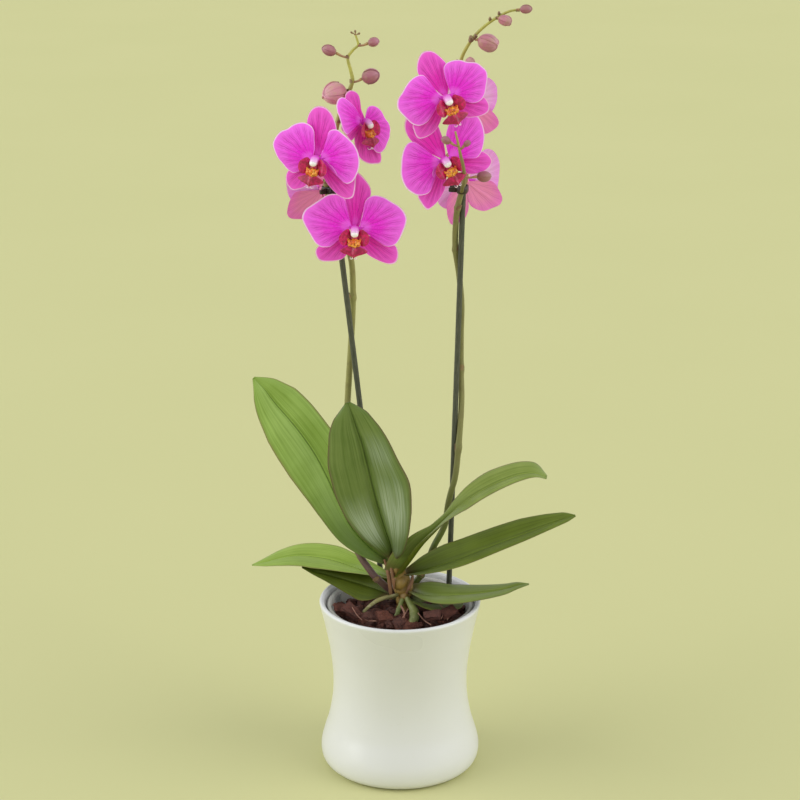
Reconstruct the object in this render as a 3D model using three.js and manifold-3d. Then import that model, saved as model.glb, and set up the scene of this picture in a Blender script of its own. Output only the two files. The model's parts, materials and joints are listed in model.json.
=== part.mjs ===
// Potted moth orchid: two flowering spikes, eight leaves, clear grower's pot in a waisted ceramic cover pot.
// Millimetres, +Z up, +X to the right of the open front, -Y towards the viewer of the flowers.
// The origin is the centre of the cover pot's flat foot.
import * as THREE from 'three';
import { mergeVertices } from 'three/addons/utils/BufferGeometryUtils.js';
import Module from 'manifold-3d';

const wasm = await Module();
wasm.setup();

// ---- driving dimensions (mm) ----
const POT_HEIGHT = 153;
const POT_RIM_RADIUS = 70;
const POT_SIDES = 30;
const GROW_BOTTOM_Z = 8.8;
const GROW_TOP_Z = 149;
const GROW_BOTTOM_RADIUS = 45;
const GROW_SLOPE = 0.115; // radius gained per mm of height
const GROW_WALL = 1.1;
const GROW_FLANGE = 63.2;
const GROW_SIDES = 24;
const BARK_EDGE_Z = 136;
const BARK_CROWN_Z = 144;
const GAP = 0.35; // clearance left where one piece is let into another
const STAKE_RADIUS = 2.4;
const CLIP_LEFT_ANGLE = -0.5;
const CLIP_LEFT_SPREAD = 2.9;
const CLIP_RIGHT_ANGLE = 1.4;
const CLIP_RIGHT_SPREAD = 3.0;
const SMOOTHING = { lip: 0.1, sepals: 0.02, petals: 0.02, mix: 0.2 }; // mm, for merging tiny facets
const BLADE = 1.0; // thickness of petals and sepals

const STEM_POINTS = [[4.37, 4, 138.13, 7.5], [4.36, 4, 146.64, 7.6], [3.48, 4, 155.14, 7.2], [1.74, 4, 164.54, 7.8], [-0.87, 3, 175.27, 7], [-3.46, 2, 185.02, 6], [-5.18, 1, 192.87, 4.2]]; // x, y, z, radius
const LEAVES = {
  leaf_1_left_upper: {
    mid: [[-10.2, 6, 185.26], [-24.77, 8, 195.64], [-41.04, 10, 213.43], [-52.94, 12, 236.69], [-62.48, 14, 258.89], [-72.71, 15, 279.5], [-82.88, 16, 295.48], [-93.44, 16, 309.91], [-105.91, 16, 325.18], [-115.4, 15, 338.9], [-124.26, 14, 349.07]],
    near: [6.5, 12.5, 18.5, 23.2, 28, 30.4, 29.8, 27.1, 20, 12.4, 1.1],
    far: [7, 13, 17.9, 21.8, 23.7, 24.2, 23.3, 23.1, 21.5, 13.1, 1.5],
    lateral: [[0.8, 0.4, 0.5], [0.76, 0.36, 0.54], [0.74, 0.34, 0.56], [0.74, 0.32, 0.58], [0.72, 0.32, 0.6]],
    fold: [42, 22, 12, 9, 6], bulge: 0.06, thick: 1.6,
  },
  leaf_2_centre: {
    mid: [[-6.17, -3, 193.56], [-8.17, -8, 205.73], [-12.34, -14, 221.87], [-18.27, -21, 244.57], [-23.56, -28, 268.76], [-27.79, -33, 290.14], [-31.52, -37, 307.42], [-36.23, -40, 323.33], [-39.65, -42, 335.31], [-42.98, -43, 345.87]],
    near: [5.7, 15.5, 23.9, 32, 35.5, 29.9, 25.3, 20.3, 14.1, 2],
    far: [4.4, 12.7, 21.5, 29.3, 32.5, 32.6, 29.7, 23.9, 16.1, 2.1],
    lateral: [[-0.97, 0.1, 0.25], [-0.97, 0.05, 0.22], [-0.97, 0.05, 0.2]],
    fold: [40, 20, 14, 12, 10], bulge: 0.1, thick: 1.6,
  },
  leaf_3_right_upper: {
    mid: [[-1.73, -2, 174.79], [6.89, -8, 189.44], [18.85, -11, 208.01], [30.75, -12, 221.77], [40.12, -10, 231.86], [52.1, -6, 242.31], [66.65, -2, 251.21], [84.66, 2, 259.29], [102.62, 4, 265.44], [114.57, 4, 266.54], [125.27, 3, 262.55]],
    near: [6.2, 11, 13.9, 13.9, 15, 18.8, 16.3, 13.5, 11.6, 8.6, 2.1],
    far: [13.5, 16.3, 11.7, 5.7, 4.5, 8.2, 13.1, 16.3, 15.9, 15.1, 4.7],
    lateral: [[-0.35, 0.8, 0.45], [-0.3, 0.86, 0.4], [-0.22, 0.93, 0.3], [-0.15, 0.95, 0.25], [-0.05, 0.98, 0.2]],
    fold: [62, 50, 20, 10, 6], bulge: 0.05, thick: 1.6,
  },
  leaf_4_right_middle: {
    mid: [[6.06, 0, 174.96], [21.57, -6, 181.01], [42.98, -10, 190.45], [64.3, -12, 200.14], [85.61, -12, 209.05], [106.93, -11, 217.15], [128.27, -9, 225.33], [141.99, -7, 229.76], [150.09, -6, 231.79]],
    near: [6.6, 13.6, 17.2, 16.9, 15.8, 14.2, 11.2, 7.8, 1.7],
    far: [5.2, 13.3, 18.8, 19.6, 19.1, 17.9, 12.8, 8.1, 1.6],
    lateral: [[-0.2, 0.9, 0.35], [-0.12, 0.95, 0.27], [-0.1, 0.97, 0.23], [-0.1, 0.97, 0.2]],
    fold: [48, 16, 12, 9], bulge: 0.05, thick: 1.6,
  },
  leaf_5_right_lower: {
    mid: [[9.54, -2, 159.18], [21.62, -8, 159.13], [34.52, -12, 160.33], [49.99, -14, 161.61], [65.49, -14, 162.93], [79.3, -13, 164.54], [91.44, -11, 166.27], [101.85, -9, 168.58], [111.29, -7, 169.05]],
    near: [8.3, 16.1, 20.2, 18.8, 15.5, 12.7, 9.8, 6.1, 1.4],
    far: [7.9, 13.7, 16.2, 16.8, 15.1, 12.3, 9.4, 6.2, 1.4],
    lateral: [[-0.1, 0.95, 0.2], [-0.03, 0.99, 0.1], [0, 1, 0.08], [0, 1, 0.08]],
    fold: [40, 6, 4, 3], bulge: 0.04, thick: 1.6,
  },
  leaf_6_left_back: {
    mid: [[-7, 15, 164.49], [-24.6, 25, 166.2], [-42.34, 34, 168.75], [-60.13, 40, 172.37], [-75.26, 43, 174.15], [-90.33, 44, 175.01], [-105.43, 44, 172.73], [-118.72, 43, 169.32], [-130.94, 42, 166.65]],
    near: [5.1, 12, 17.2, 20.9, 22.6, 21.1, 16.5, 8.9, 1.2],
    far: [4, 8.8, 12.7, 16.7, 16.5, 14.2, 11.6, 7.2, 1.2],
    lateral: [[0.1, 0.9, 0.3], [0.05, 0.93, 0.28], [0, 0.97, 0.22], [0, 0.98, 0.12]],
    fold: [40, 14, 8, 3], bulge: 0.04, thick: 1.6,
  },
  leaf_7_left_lower: {
    mid: [[-8.73, 8, 153.24], [-19.25, 14, 155.1], [-29.83, 19, 156.58], [-42.15, 22, 159.43], [-54.48, 24, 162.51], [-65.89, 25, 165.62], [-75.53, 25, 167.99], [-86, 24, 171.99]],
    near: [8.8, 18.2, 18, 14.9, 11.1, 8, 4.9, 0.9],
    far: [6.6, 13.3, 14.9, 13.5, 10.6, 7.7, 5, 0.9],
    lateral: [[0.1, 0.85, 0.45], [0.02, 0.86, 0.5], [0, 0.88, 0.46], [0, 0.94, 0.34]],
    fold: [30, 4, 0, 0], bulge: 0.03, thick: 1.6,
  },
  leaf_8_right_inner: {
    mid: [[8.69, -1, 152.56], [17.34, -6, 151.88], [27.7, -9, 151.29], [38.09, -9, 150.82], [47.69, -6, 150.47], [54.74, -2, 150.16]],
    near: [5, 11, 15, 15, 10, 1.5],
    far: [5, 10, 13, 13, 9, 1.5],
    lateral: [[0, 0.95, 0.2], [0, 0.98, 0.15], [0, 1, 0.1]],
    fold: [34, 8, 4], bulge: 0.03, thick: 1.6,
  },
};
const ROOTS = {
  root_1_left: { path: [[-2.6, -3, 157.17], [-8.65, -8, 157.89], [-16.4, -13, 157.68], [-24.12, -17, 154.73], [-30.98, -21, 149.45]], radii: [2.35, 2.44, 2.35, 2.18, 1.93] },
  root_2_front: { path: [[1.73, -6, 153.75], [0, -10, 149.84], [-2.59, -13, 143.63], [-4.76, -14, 137.49]], radii: [2.6, 2.7, 2.6, 2.4] },
  root_3_front_right: { path: [[6.07, -6, 154.69], [9.51, -12, 151.64], [12.5, -18, 146.75], [11.19, -24, 140.95], [9.03, -27, 134.79]], radii: [2.4, 3, 4, 4.2, 3.6] },
  root_4_right: { path: [[9.61, 10, 151.64], [15.78, 15, 148.57], [23.76, 21, 143.16], [30.91, 26, 136.24], [35.43, 29, 128.23]], radii: [2.2, 2.3, 2.3, 2.2, 2] },
  root_5_back: { path: [[-2.63, 14, 148.05], [-10.58, 24, 139.97], [-19.51, 32, 130.78]], radii: [2.3, 2.3, 2.1] },
};
const STAKE_LEFT = { bottom: [-6.09, 43.62, 62], top: [-55.29, 4, 518.52] };
const STAKE_RIGHT = { bottom: [40.25, 22.98, 52], top: [52.2, 10, 517.23] };
const SPIKE_LEFT = {
  path: [[-7.86, 9, 156.79], [-11.76, 7, 160.46], [-16.53, 5.5, 165.79], [-22.16, 5, 171.63], [-27.78, 6, 179.18], [-34.73, 9, 188.71], [-40.86, 16, 202.72], [-44.73, 22, 226.44], [-46.3, 26, 261.9], [-46.04, 27, 298.09], [-44.98, 26.5, 323.58], [-43.03, 25, 352.71], [-41.57, 24, 375.2], [-40.28, 22.5, 397.64], [-39.7, 20.5, 415.67], [-40.47, 16.5, 449.58], [-45.68, 14.5, 470.61], [-52.92, 12.5, 490.6], [-58.45, 9, 504.87], [-60.21, 6, 516.42], [-58.74, 1, 532.45], [-56.09, -2, 543.8], [-50.12, -3, 571.86], [-45.98, -3, 584.88], [-40.26, -2, 597.67], [-38.3, -1, 604.77], [-39.72, 0, 612.66], [-41.76, 1, 622.47], [-37.72, 2, 628.41], [-33.69, 2, 632.42], [-34.46, 2, 637.22], [-35.48, 2, 639.93]],
  radii: [3.1, 3.1, 3.1, 3.1, 3, 3, 2.9, 2.8, 2.7, 2.7, 2.7, 2.7, 2.6, 2.6, 2.6, 2.5, 2.5, 2.4, 2.4, 2.3, 2.2, 2.2, 2, 1.9, 1.7, 1.6, 1.4, 1.2, 1.1, 1, 0.9, 0.8],
};
const SPIKE_RIGHT = {
  path: [[9.61, 10, 155.42], [13.09, 11, 162.55], [18.32, 12, 169.67], [24.38, 12.5, 182.61], [29.53, 12.5, 196.64], [34.69, 12.5, 206.89], [38.95, 12, 217.29], [41.41, 11.5, 235.03], [43.91, 11.3, 247.05], [47.24, 11, 259.98], [49.98, 12.5, 286.73], [52.48, 17, 328.44], [51.82, 20, 355.14], [51.57, 20.5, 385.04], [51.8, 19.5, 413.33], [49.36, 18, 438.87], [46.2, 15.5, 460.12], [45.98, 12.5, 479.59], [47.35, 7, 497.76], [50.45, 4.6, 511.71], [52.8, 4, 521.85], [53.48, 3, 534.52], [52.95, 4, 550.85], [51.15, 5, 572.84], [49.35, 6, 595.49], [48.89, 6, 611.7], [49.54, 6, 620.97], [54.24, 5, 631.17], [61.49, 4, 641.24], [71.2, 3, 649.99], [80.67, 2, 656.16], [86.96, 1, 659.31], [94.46, 0, 660.95]],
  radii: [2.9, 2.9, 2.9, 2.9, 2.8, 2.8, 2.7, 2.7, 2.6, 2.6, 2.6, 2.4, 2.4, 2.5, 2.5, 2.5, 2.5, 2.5, 2.4, 2.3, 2.2, 2.1, 2, 1.9, 1.8, 1.6, 1.5, 1.4, 1.3, 1.2, 1.1, 1, 0.9],
};
const BRANCH = {
  path: [[50.06, 4.8, 509.99], [51.26, -8, 519.44], [51.88, -26, 529.88], [50.1, -42, 543.79], [47.9, -47, 552.86], [46.2, -49, 561.27], [43.72, -50, 571.83]],
  radii: [1.6, 1.5, 1.5, 1.4, 1.3, 1.1, 0.8],
};
const FLOWERS = {
  a1: { hub: [-36.87, -26, 487.03], yaw: 2, pitch: 4, roll: 3, scale: 1, start: [-53.71, 12, 492.41],
    petals: [[[7.9, -3.2], [12.6, -4.9], [18.7, -7], [25.2, -9], [29.3, -10.1], [33.3, -10.7], [36.4, -6.7], [38.9, 0], [41, 6.2], [41.6, 11.9], [38.4, 17.9], [34.2, 21.8], [28.8, 24.9], [22.4, 28.3], [15.2, 29.2], [11.2, 27.8], [9.1, 24.5], [7.5, 20.9], [5.6, 16.2], [3.4, 10.3], [1.8, 5.6]], [[-2.4, 6], [-4.7, 11.2], [-7.7, 17.8], [-10.1, 22.6], [-12.1, 26.2], [-15.4, 28.8], [-22.7, 28], [-29.7, 23.5], [-36.4, 18.7], [-40.7, 15.2], [-42.9, 8.6], [-41.7, 5], [-38.9, -0.2], [-35, -6.1], [-31.5, -11.3], [-27.4, -14.4], [-23.5, -14.5], [-20.2, -12.8], [-14.9, -9.7], [-11, -7.4], [-6.7, -4.6], [-3.1, -2.2]]],
    sepals: [[[3.3, -10.8], [7.7, -16.8], [13.2, -21.1], [18.6, -23.9], [24.9, -26.4], [29.9, -27.6], [34.3, -26.7], [36.3, -23.1], [36.5, -17.6], [34.3, -12.8], [30, -10.8], [21.5, -7.4], [10.5, -3.5], [3.9, -1.2]], [[3.9, 3.2], [5.3, 9], [6.6, 16.4], [8.8, 22.8], [10.8, 28.8], [11.4, 34.4], [7.5, 40.2], [2.4, 45.6], [-0.4, 47.1], [-4, 44.1], [-7.3, 36.8], [-8.7, 27.8], [-7.9, 19], [-6.1, 11], [-3.4, 2.9]], [[-3.5, -1.9], [-8.5, -4.8], [-17.6, -10.2], [-25.6, -15.2], [-30.3, -18.5], [-30.1, -23.2], [-27.3, -26.9], [-20.3, -27.5], [-13, -26.4], [-8.3, -24.2], [-4, -18.5], [-1.5, -11]]] },
  a2: { hub: [-66.51, -38, 547.01], yaw: -14, pitch: 6, roll: 8, scale: 0.97, start: [-56.09, -2, 543.8],
    petals: [[[7.9, -3.5], [15.2, -6.5], [21, -8.7], [26.6, -10.6], [30.3, -11.7], [32.7, -11.9], [34.9, -7.3], [36.6, 0.3], [36.1, 7.5], [34.1, 12.7], [30.9, 17.7], [25.2, 22.4], [19.1, 25.8], [13.8, 27.9], [9.2, 26.2], [7.7, 22.9], [5.8, 18.1], [4, 12.9], [2.5, 8.6], [1.4, 5]], [[-1, 3.9], [-2.5, 9.7], [-4.6, 16.5], [-6.5, 22.6], [-7.9, 26.1], [-12, 28], [-16.8, 28.2], [-23, 25.5], [-28.2, 21], [-33.4, 18], [-36.6, 13.3], [-38.2, 6.5], [-35.5, 0.6], [-32.1, -4.2], [-27.3, -8.2], [-23, -11.9], [-17.7, -14], [-13.7, -11.9], [-10, -8.9], [-5.5, -5]]],
    sepals: [[[2, -3.2], [5.8, -9], [9.8, -14.8], [13.3, -19.4], [17.7, -22.9], [22.4, -25.7], [27.2, -27], [31.1, -27], [34.4, -24.8], [35.3, -18.6], [34.9, -11.1], [33.2, -4.7], [24.3, -1.4], [12.1, 0.1]], [[2.4, 4.5], [5.2, 10.9], [8.4, 18], [11.2, 24.8], [11.6, 29.4], [9.3, 34.3], [5.6, 39.2], [0.3, 43], [-4.5, 43.7], [-8.2, 42.4], [-11.7, 39.1], [-13.7, 33.8], [-13.3, 26.4], [-9.9, 18], [-6, 10.4], [-4.1, 4.1]], [[-3.8, -2], [-10.4, -5.8], [-18.1, -10.4], [-23.9, -14.8], [-24, -20.7], [-21.4, -26.2], [-18, -28.5], [-13.3, -27.6], [-8.4, -25.1], [-4.7, -20.3], [-1.2, -11.2]]] },
  a3: { hub: [-30.24, -8, 571.16], yaw: 50, pitch: 6, roll: 2, scale: 0.93, start: [-50.12, -3, 571.86],
    petals: [[[1.3, -4], [4.2, -12.4], [7.4, -20.3], [12.9, -26], [19, -28.1], [25.3, -25.7], [29.6, -21.3], [33.5, -15.9], [34.2, -10.1], [32.5, -4.1], [27.6, 1.3], [23.5, 7.6], [17.8, 12], [11.4, 13.9], [6.9, 12.7], [4.4, 8.4], [1.8, 3.6]], [[-4.5, 5.8], [-11.2, 14.3], [-17.7, 20.7], [-24.8, 24.4], [-31.1, 23.3], [-34.4, 18.1], [-33.8, 11.3], [-31, 3.3], [-27.3, -3.7], [-22.9, -6.5], [-17.3, -5.1], [-11.3, -3.5], [-4, -1.3]]],
    sepals: [[[-3.5, -7], [-6.8, -13.7], [-6.6, -18.3], [-4.8, -23.6], [-2, -29.3], [3.2, -34], [10.5, -37], [18.3, -38.1], [23.8, -37.9], [25.5, -35.2], [25.2, -29.9], [22.1, -25.3], [16.1, -18], [9.3, -10.2], [2.8, -3]], [[5, 2.5], [3.5, 7.4], [0.9, 12.9], [0.7, 19.3], [-0.9, 24.4], [-5.9, 28.3], [-11.5, 29.3], [-16.3, 26.6], [-17.3, 19.8], [-13.9, 12.6], [-7, 6], [-1.1, 0.9]], [[-1.8, -0.1], [-9.8, -0.7], [-19.7, -1.6], [-25.2, -2.3], [-23.7, -4.8], [-19.1, -9.4], [-14.4, -13.1], [-8.8, -9.2], [-3.3, -4.9]]] },
  a4: { hub: [-65.61, 38, 506.95], yaw: 205, pitch: -4, roll: 4, scale: 0.92, start: [-59.98, 5, 519.97],
    petals: [[[2.2, -2.1], [7.4, -6.4], [16.5, -9.6], [25.3, -9.1], [30.6, -4.1], [32.6, 4.5], [32.8, 11.5], [31, 18.5], [26.8, 21], [18.3, 17.4], [8.7, 8.4], [1.5, 1.5]], [[-4.1, 2.3], [-12.3, 6.7], [-21.6, 11], [-28.7, 11.8], [-32.2, 7.5], [-32.4, 0.1], [-30.7, -6.2], [-25, -12.7], [-17.8, -14.3], [-10.2, -11.1], [-4.4, -4.9]]],
    sepals: [[[0.5, -4.4], [1.5, -11.6], [9.4, -19.5], [19, -23.4], [27, -22.9], [34.8, -21], [37.2, -17.9], [36.7, -12.9], [34.5, -7.8], [31.4, -2.9], [26.8, 1.6], [13.9, 1], [2.8, 0.2]], [[2.6, 3.4], [6.8, 11.4], [8.8, 20.9], [8, 30], [3.6, 35.8], [-1.9, 36.8], [-7, 33.2], [-8.9, 25.5], [-7.6, 16.5], [-4.8, 8.6], [-1.7, 2.6]], [[-2.4, -1.1], [-9.2, -4.5], [-18.6, -9.3], [-25.5, -16.8], [-25.7, -23.3], [-19.6, -25.1], [-11.1, -21.9], [-4.2, -14.4], [-0.7, -6.4]]] },
  b1: { hub: [36.72, -38, 595.86], yaw: 9, pitch: 5, roll: -21, scale: 0.98, start: [48.95, 6, 605.23],
    petals: [[[7.6, -3.8], [11.1, -5.4], [14.9, -7.1], [18.8, -8.7], [22.6, -10.1], [26.5, -11], [30.5, -8.1], [34.1, -2.1], [37.5, 4.1], [38.4, 9.1], [36.6, 13.2], [33.4, 17.8], [26, 21.5], [21, 25.3], [15, 27], [9.9, 26.5], [8.1, 23.9], [6.3, 19.3], [4.2, 13.5], [2.7, 8.9], [1.7, 6]], [[-2.7, 6], [-3.8, 8.1], [-6.4, 13.1], [-8.8, 17.5], [-11.1, 21.5], [-12.9, 24.1], [-14.5, 26.3], [-18, 26.3], [-22.9, 25], [-28, 22.2], [-32.7, 18.6], [-36.4, 16.2], [-39, 12], [-39.8, 7.9], [-37.7, 1.7], [-35.4, -3.6], [-32.8, -8], [-29, -10.9], [-24.8, -10.5], [-19.8, -8.6], [-15, -6.8], [-10.2, -4.8], [-6.2, -3]]],
    sepals: [[[3.5, -8.5], [6.8, -16], [10.4, -20.5], [16.2, -22.7], [22.5, -23.9], [28.4, -23], [31.1, -19.7], [31.5, -15.5], [29.4, -10.7], [22, -6.7], [12.7, -3.2], [5, -1.2]], [[3.7, 5.3], [7.1, 11.7], [10.3, 19], [10.9, 25.5], [9.4, 30.4], [7.2, 34.7], [4.4, 38.6], [0.9, 41], [-3.3, 41.6], [-6.9, 39.9], [-11, 35.6], [-13.7, 29.7], [-12.5, 24.1], [-9.3, 17.3], [-5.6, 10.1], [-2.9, 5.1]], [[-4.1, -1.1], [-11.2, -3.1], [-21.4, -6.2], [-29.1, -8.8], [-33, -10.4], [-33.8, -14], [-33.8, -18.4], [-32.2, -21.6], [-28.2, -22.4], [-21.8, -21.8], [-16.7, -19.9], [-12.1, -16.5], [-7.5, -10.9], [-3.3, -5.7]]] },
  b2: { hub: [36.08, -27, 543.96], yaw: 8, pitch: 5, roll: -26, scale: 0.97, start: [53.15, 4, 546.73],
    petals: [[[9, -3.1], [15, -5], [20.5, -6.5], [25.6, -7.8], [29.8, -7.4], [34.8, -2.1], [39.5, 5.7], [41.3, 15.1], [39.7, 22.3], [33.2, 28.1], [24.4, 29.2], [16.3, 26.1], [10.3, 18.1], [5.3, 9.6], [2.2, 4.1]], [[-3.1, 4.8], [-6.4, 9.7], [-10.3, 15.3], [-13.8, 19.9], [-16.6, 23.4], [-19.1, 26.2], [-21.9, 27.7], [-26.3, 25.1], [-30.4, 20.4], [-34.6, 13.2], [-37.8, 6.7], [-39.2, 0.4], [-38.9, -5.1], [-36.4, -10.6], [-33.7, -14.3], [-30.1, -16.4], [-25.9, -15.2], [-21.8, -13.2], [-16.9, -10.5], [-12.7, -8.1], [-9.3, -6.1], [-4.6, -3.1]]],
    sepals: [[[3.7, -8.2], [8.1, -14.5], [14.7, -20.3], [22.7, -23.2], [30, -23.3], [34.4, -21.2], [35.9, -17.8], [34.8, -12.2], [30.9, -9.2], [23.2, -6.6], [14, -3.8], [5.8, -1.5]], [[3.1, 4.8], [6, 14.4], [7.9, 24.5], [7.9, 33.7], [5.7, 40.3], [0.9, 45.5], [-5.3, 47.8], [-11.6, 46.4], [-15.8, 42.2], [-18, 36], [-17.8, 28.9], [-14.8, 21.9], [-10.7, 15], [-6.6, 9], [-2.5, 3.4]], [[-4.5, -1.9], [-10.7, -4.6], [-20.2, -9], [-27.9, -12.8], [-33, -16.1], [-32.9, -22.6], [-32, -27.7], [-30.5, -30], [-26.6, -30], [-21.3, -28.6], [-15.4, -25.5], [-10.7, -21.8], [-5.8, -15], [-2.5, -7.3]]] },
  b3: { hub: [56.17, 40, 581.4], yaw: 165, pitch: 0, roll: 12, scale: 0.9, start: [51.1, 5, 577.75],
    petals: [[[9.7, -2.9], [19.1, -5.5], [26.2, -2.6], [28.7, 4.4], [27, 12.5], [21.9, 18.2], [15.2, 18], [9, 11.3], [2.1, 2.7]], [[-1.7, 2.1], [-8, 9.3], [-14.1, 15.4], [-21.1, 17.2], [-25.3, 14], [-28.3, 7.5], [-27.8, 0.6], [-25.7, -6], [-22.3, -11.6], [-17.6, -15], [-10.5, -12.3], [-4.2, -5]]],
    sepals: [[[1.9, -3.4], [5.8, -9.9], [10.8, -17.6], [17.5, -22.1], [22.2, -19.4], [21.7, -12], [15.2, -5.6], [7.6, -1.3]], [[1.5, 4.9], [3.6, 12.2], [4.8, 21.6], [1.8, 28.6], [-4, 30.9], [-9.3, 29], [-12.4, 23.4], [-10.9, 14.3], [-5.3, 5.9]], [[-2.6, -1.6], [-10.5, -6.7], [-18, -11.7], [-22.9, -16.3], [-25.6, -22.9], [-24.2, -27.3], [-19.2, -30.3], [-10.9, -32.8], [-5.2, -29.5], [-1.1, -20.5], [0.7, -9.9]]] },
  b4: { hub: [54.74, 40, 513.32], yaw: 185, pitch: -6, roll: -20, scale: 0.95, start: [53.5, 3, 532.03],
    petals: [[[-0.2, -10.4], [1.6, -22.3], [6.9, -28.5], [12.1, -28.5], [16.8, -25.1], [18.1, -19.5], [16.1, -9.5], [10.7, -2.3], [3.8, -0.7]], [[-0.8, 4.9], [-2.9, 16.3], [-5, 26.7], [-8.6, 32.8], [-13.2, 33.1], [-18.7, 30.1], [-23.2, 24.5], [-26.3, 17.2], [-28.4, 8.6], [-28.5, 1.6], [-21.5, 0.7], [-10.6, 0.2]]],
    sepals: [[[3.9, 3.9], [9.7, 9.9], [14.4, 18.5], [14.3, 25.9], [10.5, 29.6], [5.1, 29.1], [0.7, 22.2], [-1, 13.5], [-0.7, 5.5]], [[-3, 1.2], [-10.2, 3.9], [-18.5, 6.8], [-24.2, 6.7], [-31.5, 1.3], [-35.9, -4.1], [-35.5, -9.8], [-30.1, -14.7], [-24.9, -18.5], [-18.5, -19.5], [-11.6, -17.9], [-6.6, -11.4], [-2.6, -4.5]], [[-3, -7.2], [-5.6, -13.8], [-8.3, -21.3], [-9.6, -26.8], [-8.6, -33], [-4.2, -37.2], [-0.4, -39.8], [3.6, -35.9], [7.9, -28.5], [10, -20], [7.2, -11.5], [3.3, -5.1]]] },
};
const BUDS_LEFT = [
  { centre: [-52.56, -9, 595.23], from: [-41.88, -2, 596.05], radius: 9.6, half: 10.6 },
  { centre: [-23.6, -4, 608.32], from: [-38.07, -1, 603.15], radius: 6.8, half: 7.6 },
  { centre: [-56.86, -2, 628.62], from: [-41.76, 1, 622.47], radius: 4.8, half: 6.2 },
  { centre: [-21.22, 0, 634.87], from: [-33.29, 2, 632.02], radius: 4, half: 4.8 },
];
const BUDS_RIGHT = [
  { centre: [100.32, -2, 661.45], from: [93.27, 0, 660.79], radius: 3.9, half: 5.2 },
  { centre: [83.68, -3, 652.65], from: [77.5, 2, 654.34], radius: 4.6, half: 6.2 },
  { centre: [70.39, -2, 635.01], from: [59.37, 4, 637.32], radius: 7.6, half: 8.8 },
  { centre: [56.24, -4, 620.13], from: [49.97, 6, 617.35], radius: 3.6, half: 5 },
];
const BUDS_BRANCH = [
  { centre: [36.24, -52, 565.44], from: [45.81, -49, 560.47], radius: 3.3, half: 4.2 },
  { centre: [52.87, -50, 562.66], from: [47.44, -48, 557.87], radius: 2.6, half: 3.2 },
  { centre: [67.7, -22, 530.26], from: [51.87, -26, 530.7], radius: 4.8, half: 6.2 },
];
const CLIPS = { left: [-57.36, 5.5, 513.18], right: [51.49, 7.3, 513.63] };

// cover pot wall, radius and height, outside up over the lip and back down inside
const POT_PROFILE = [
  [0, 0], [60, 0], [64.6, 1.8], [68, 6], [69.5, 12], [69.3, 19], [66.5, 29.5], [63.1, 41], [60.8, 53], [58.5, 76],
  [59.9, 99], [63.6, 122], [POT_RIM_RADIUS, 150.5], [69, POT_HEIGHT], [67, POT_HEIGHT], [65.4, 150],
  [60.2, 125], [55.6, 99], [54.2, 76], [56.3, 53], [60.8, 31], [62.6, 16], [57, 8.5], [0, 8.5],
];

// outlines in the flower's own plane: x to its right, y towards its dorsal sepal
const MIDLOBE_OUTLINE = [[-1.8, -12.6], [-5, -15.6], [-8.8, -18.6], [-9, -20.8], [-5.4, -23], [0, -24.6], [5.4, -23], [9, -20.8], [8.8, -18.6], [5, -15.6], [1.8, -12.6]];
const SIDELOBE_OUTLINE = [[2.6, -9], [6, -13.2], [9.6, -12.6], [11.9, -8.4], [11.2, -3.6], [7.6, -1], [4, -2.6], [2.4, -5.4]];

// ---- helpers ----
const V = (a) => new THREE.Vector3(a[0], a[1], a[2]);

function sample(list, t) {
  const x = Math.min(list.length - 1 - 1e-9, Math.max(0, t * (list.length - 1)));
  const i = Math.floor(x), f = x - i;
  const a = list[i], b = list[i + 1];
  return Array.isArray(a) ? a.map((v, k) => v + (b[k] - v) * f) : a + (b - a) * f;
}

function geometryFrom(points, faces) {
  const g = new THREE.BufferGeometry();
  g.setAttribute('position', new THREE.Float32BufferAttribute(points.flatMap((p) => [p.x, p.y, p.z]), 3));
  let volume = 0;
  for (const [a, b, c] of faces) volume += points[a].dot(new THREE.Vector3().crossVectors(points[b], points[c]));
  g.setIndex((volume < 0 ? faces.map(([a, b, c]) => [a, c, b]) : faces).flat());
  return g;
}

// closes two facing grids of the same size into one thin body
function closedSheet(top, bottom) {
  const ni = top.length, nj = top[0].length, n = ni * nj, faces = [];
  const at = (i, j, k) => k * n + i * nj + j;
  for (let i = 0; i < ni - 1; i++) for (let j = 0; j < nj - 1; j++) {
    faces.push([at(i, j, 0), at(i + 1, j, 0), at(i + 1, j + 1, 0)], [at(i, j, 0), at(i + 1, j + 1, 0), at(i, j + 1, 0)]);
    faces.push([at(i, j, 1), at(i + 1, j + 1, 1), at(i + 1, j, 1)], [at(i, j, 1), at(i, j + 1, 1), at(i + 1, j + 1, 1)]);
  }
  const edge = [];
  for (let j = 0; j < nj - 1; j++) edge.push([0, j]);
  for (let i = 0; i < ni - 1; i++) edge.push([i, nj - 1]);
  for (let j = nj - 1; j > 0; j--) edge.push([ni - 1, j]);
  for (let i = ni - 1; i > 0; i--) edge.push([i, 0]);
  edge.forEach(([i, j], k) => {
    const [p, q] = edge[(k + 1) % edge.length];
    faces.push([at(i, j, 0), at(p, q, 0), at(p, q, 1)], [at(i, j, 0), at(p, q, 1), at(i, j, 1)]);
  });
  return geometryFrom([...top.flat(), ...bottom.flat()], faces);
}

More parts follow.
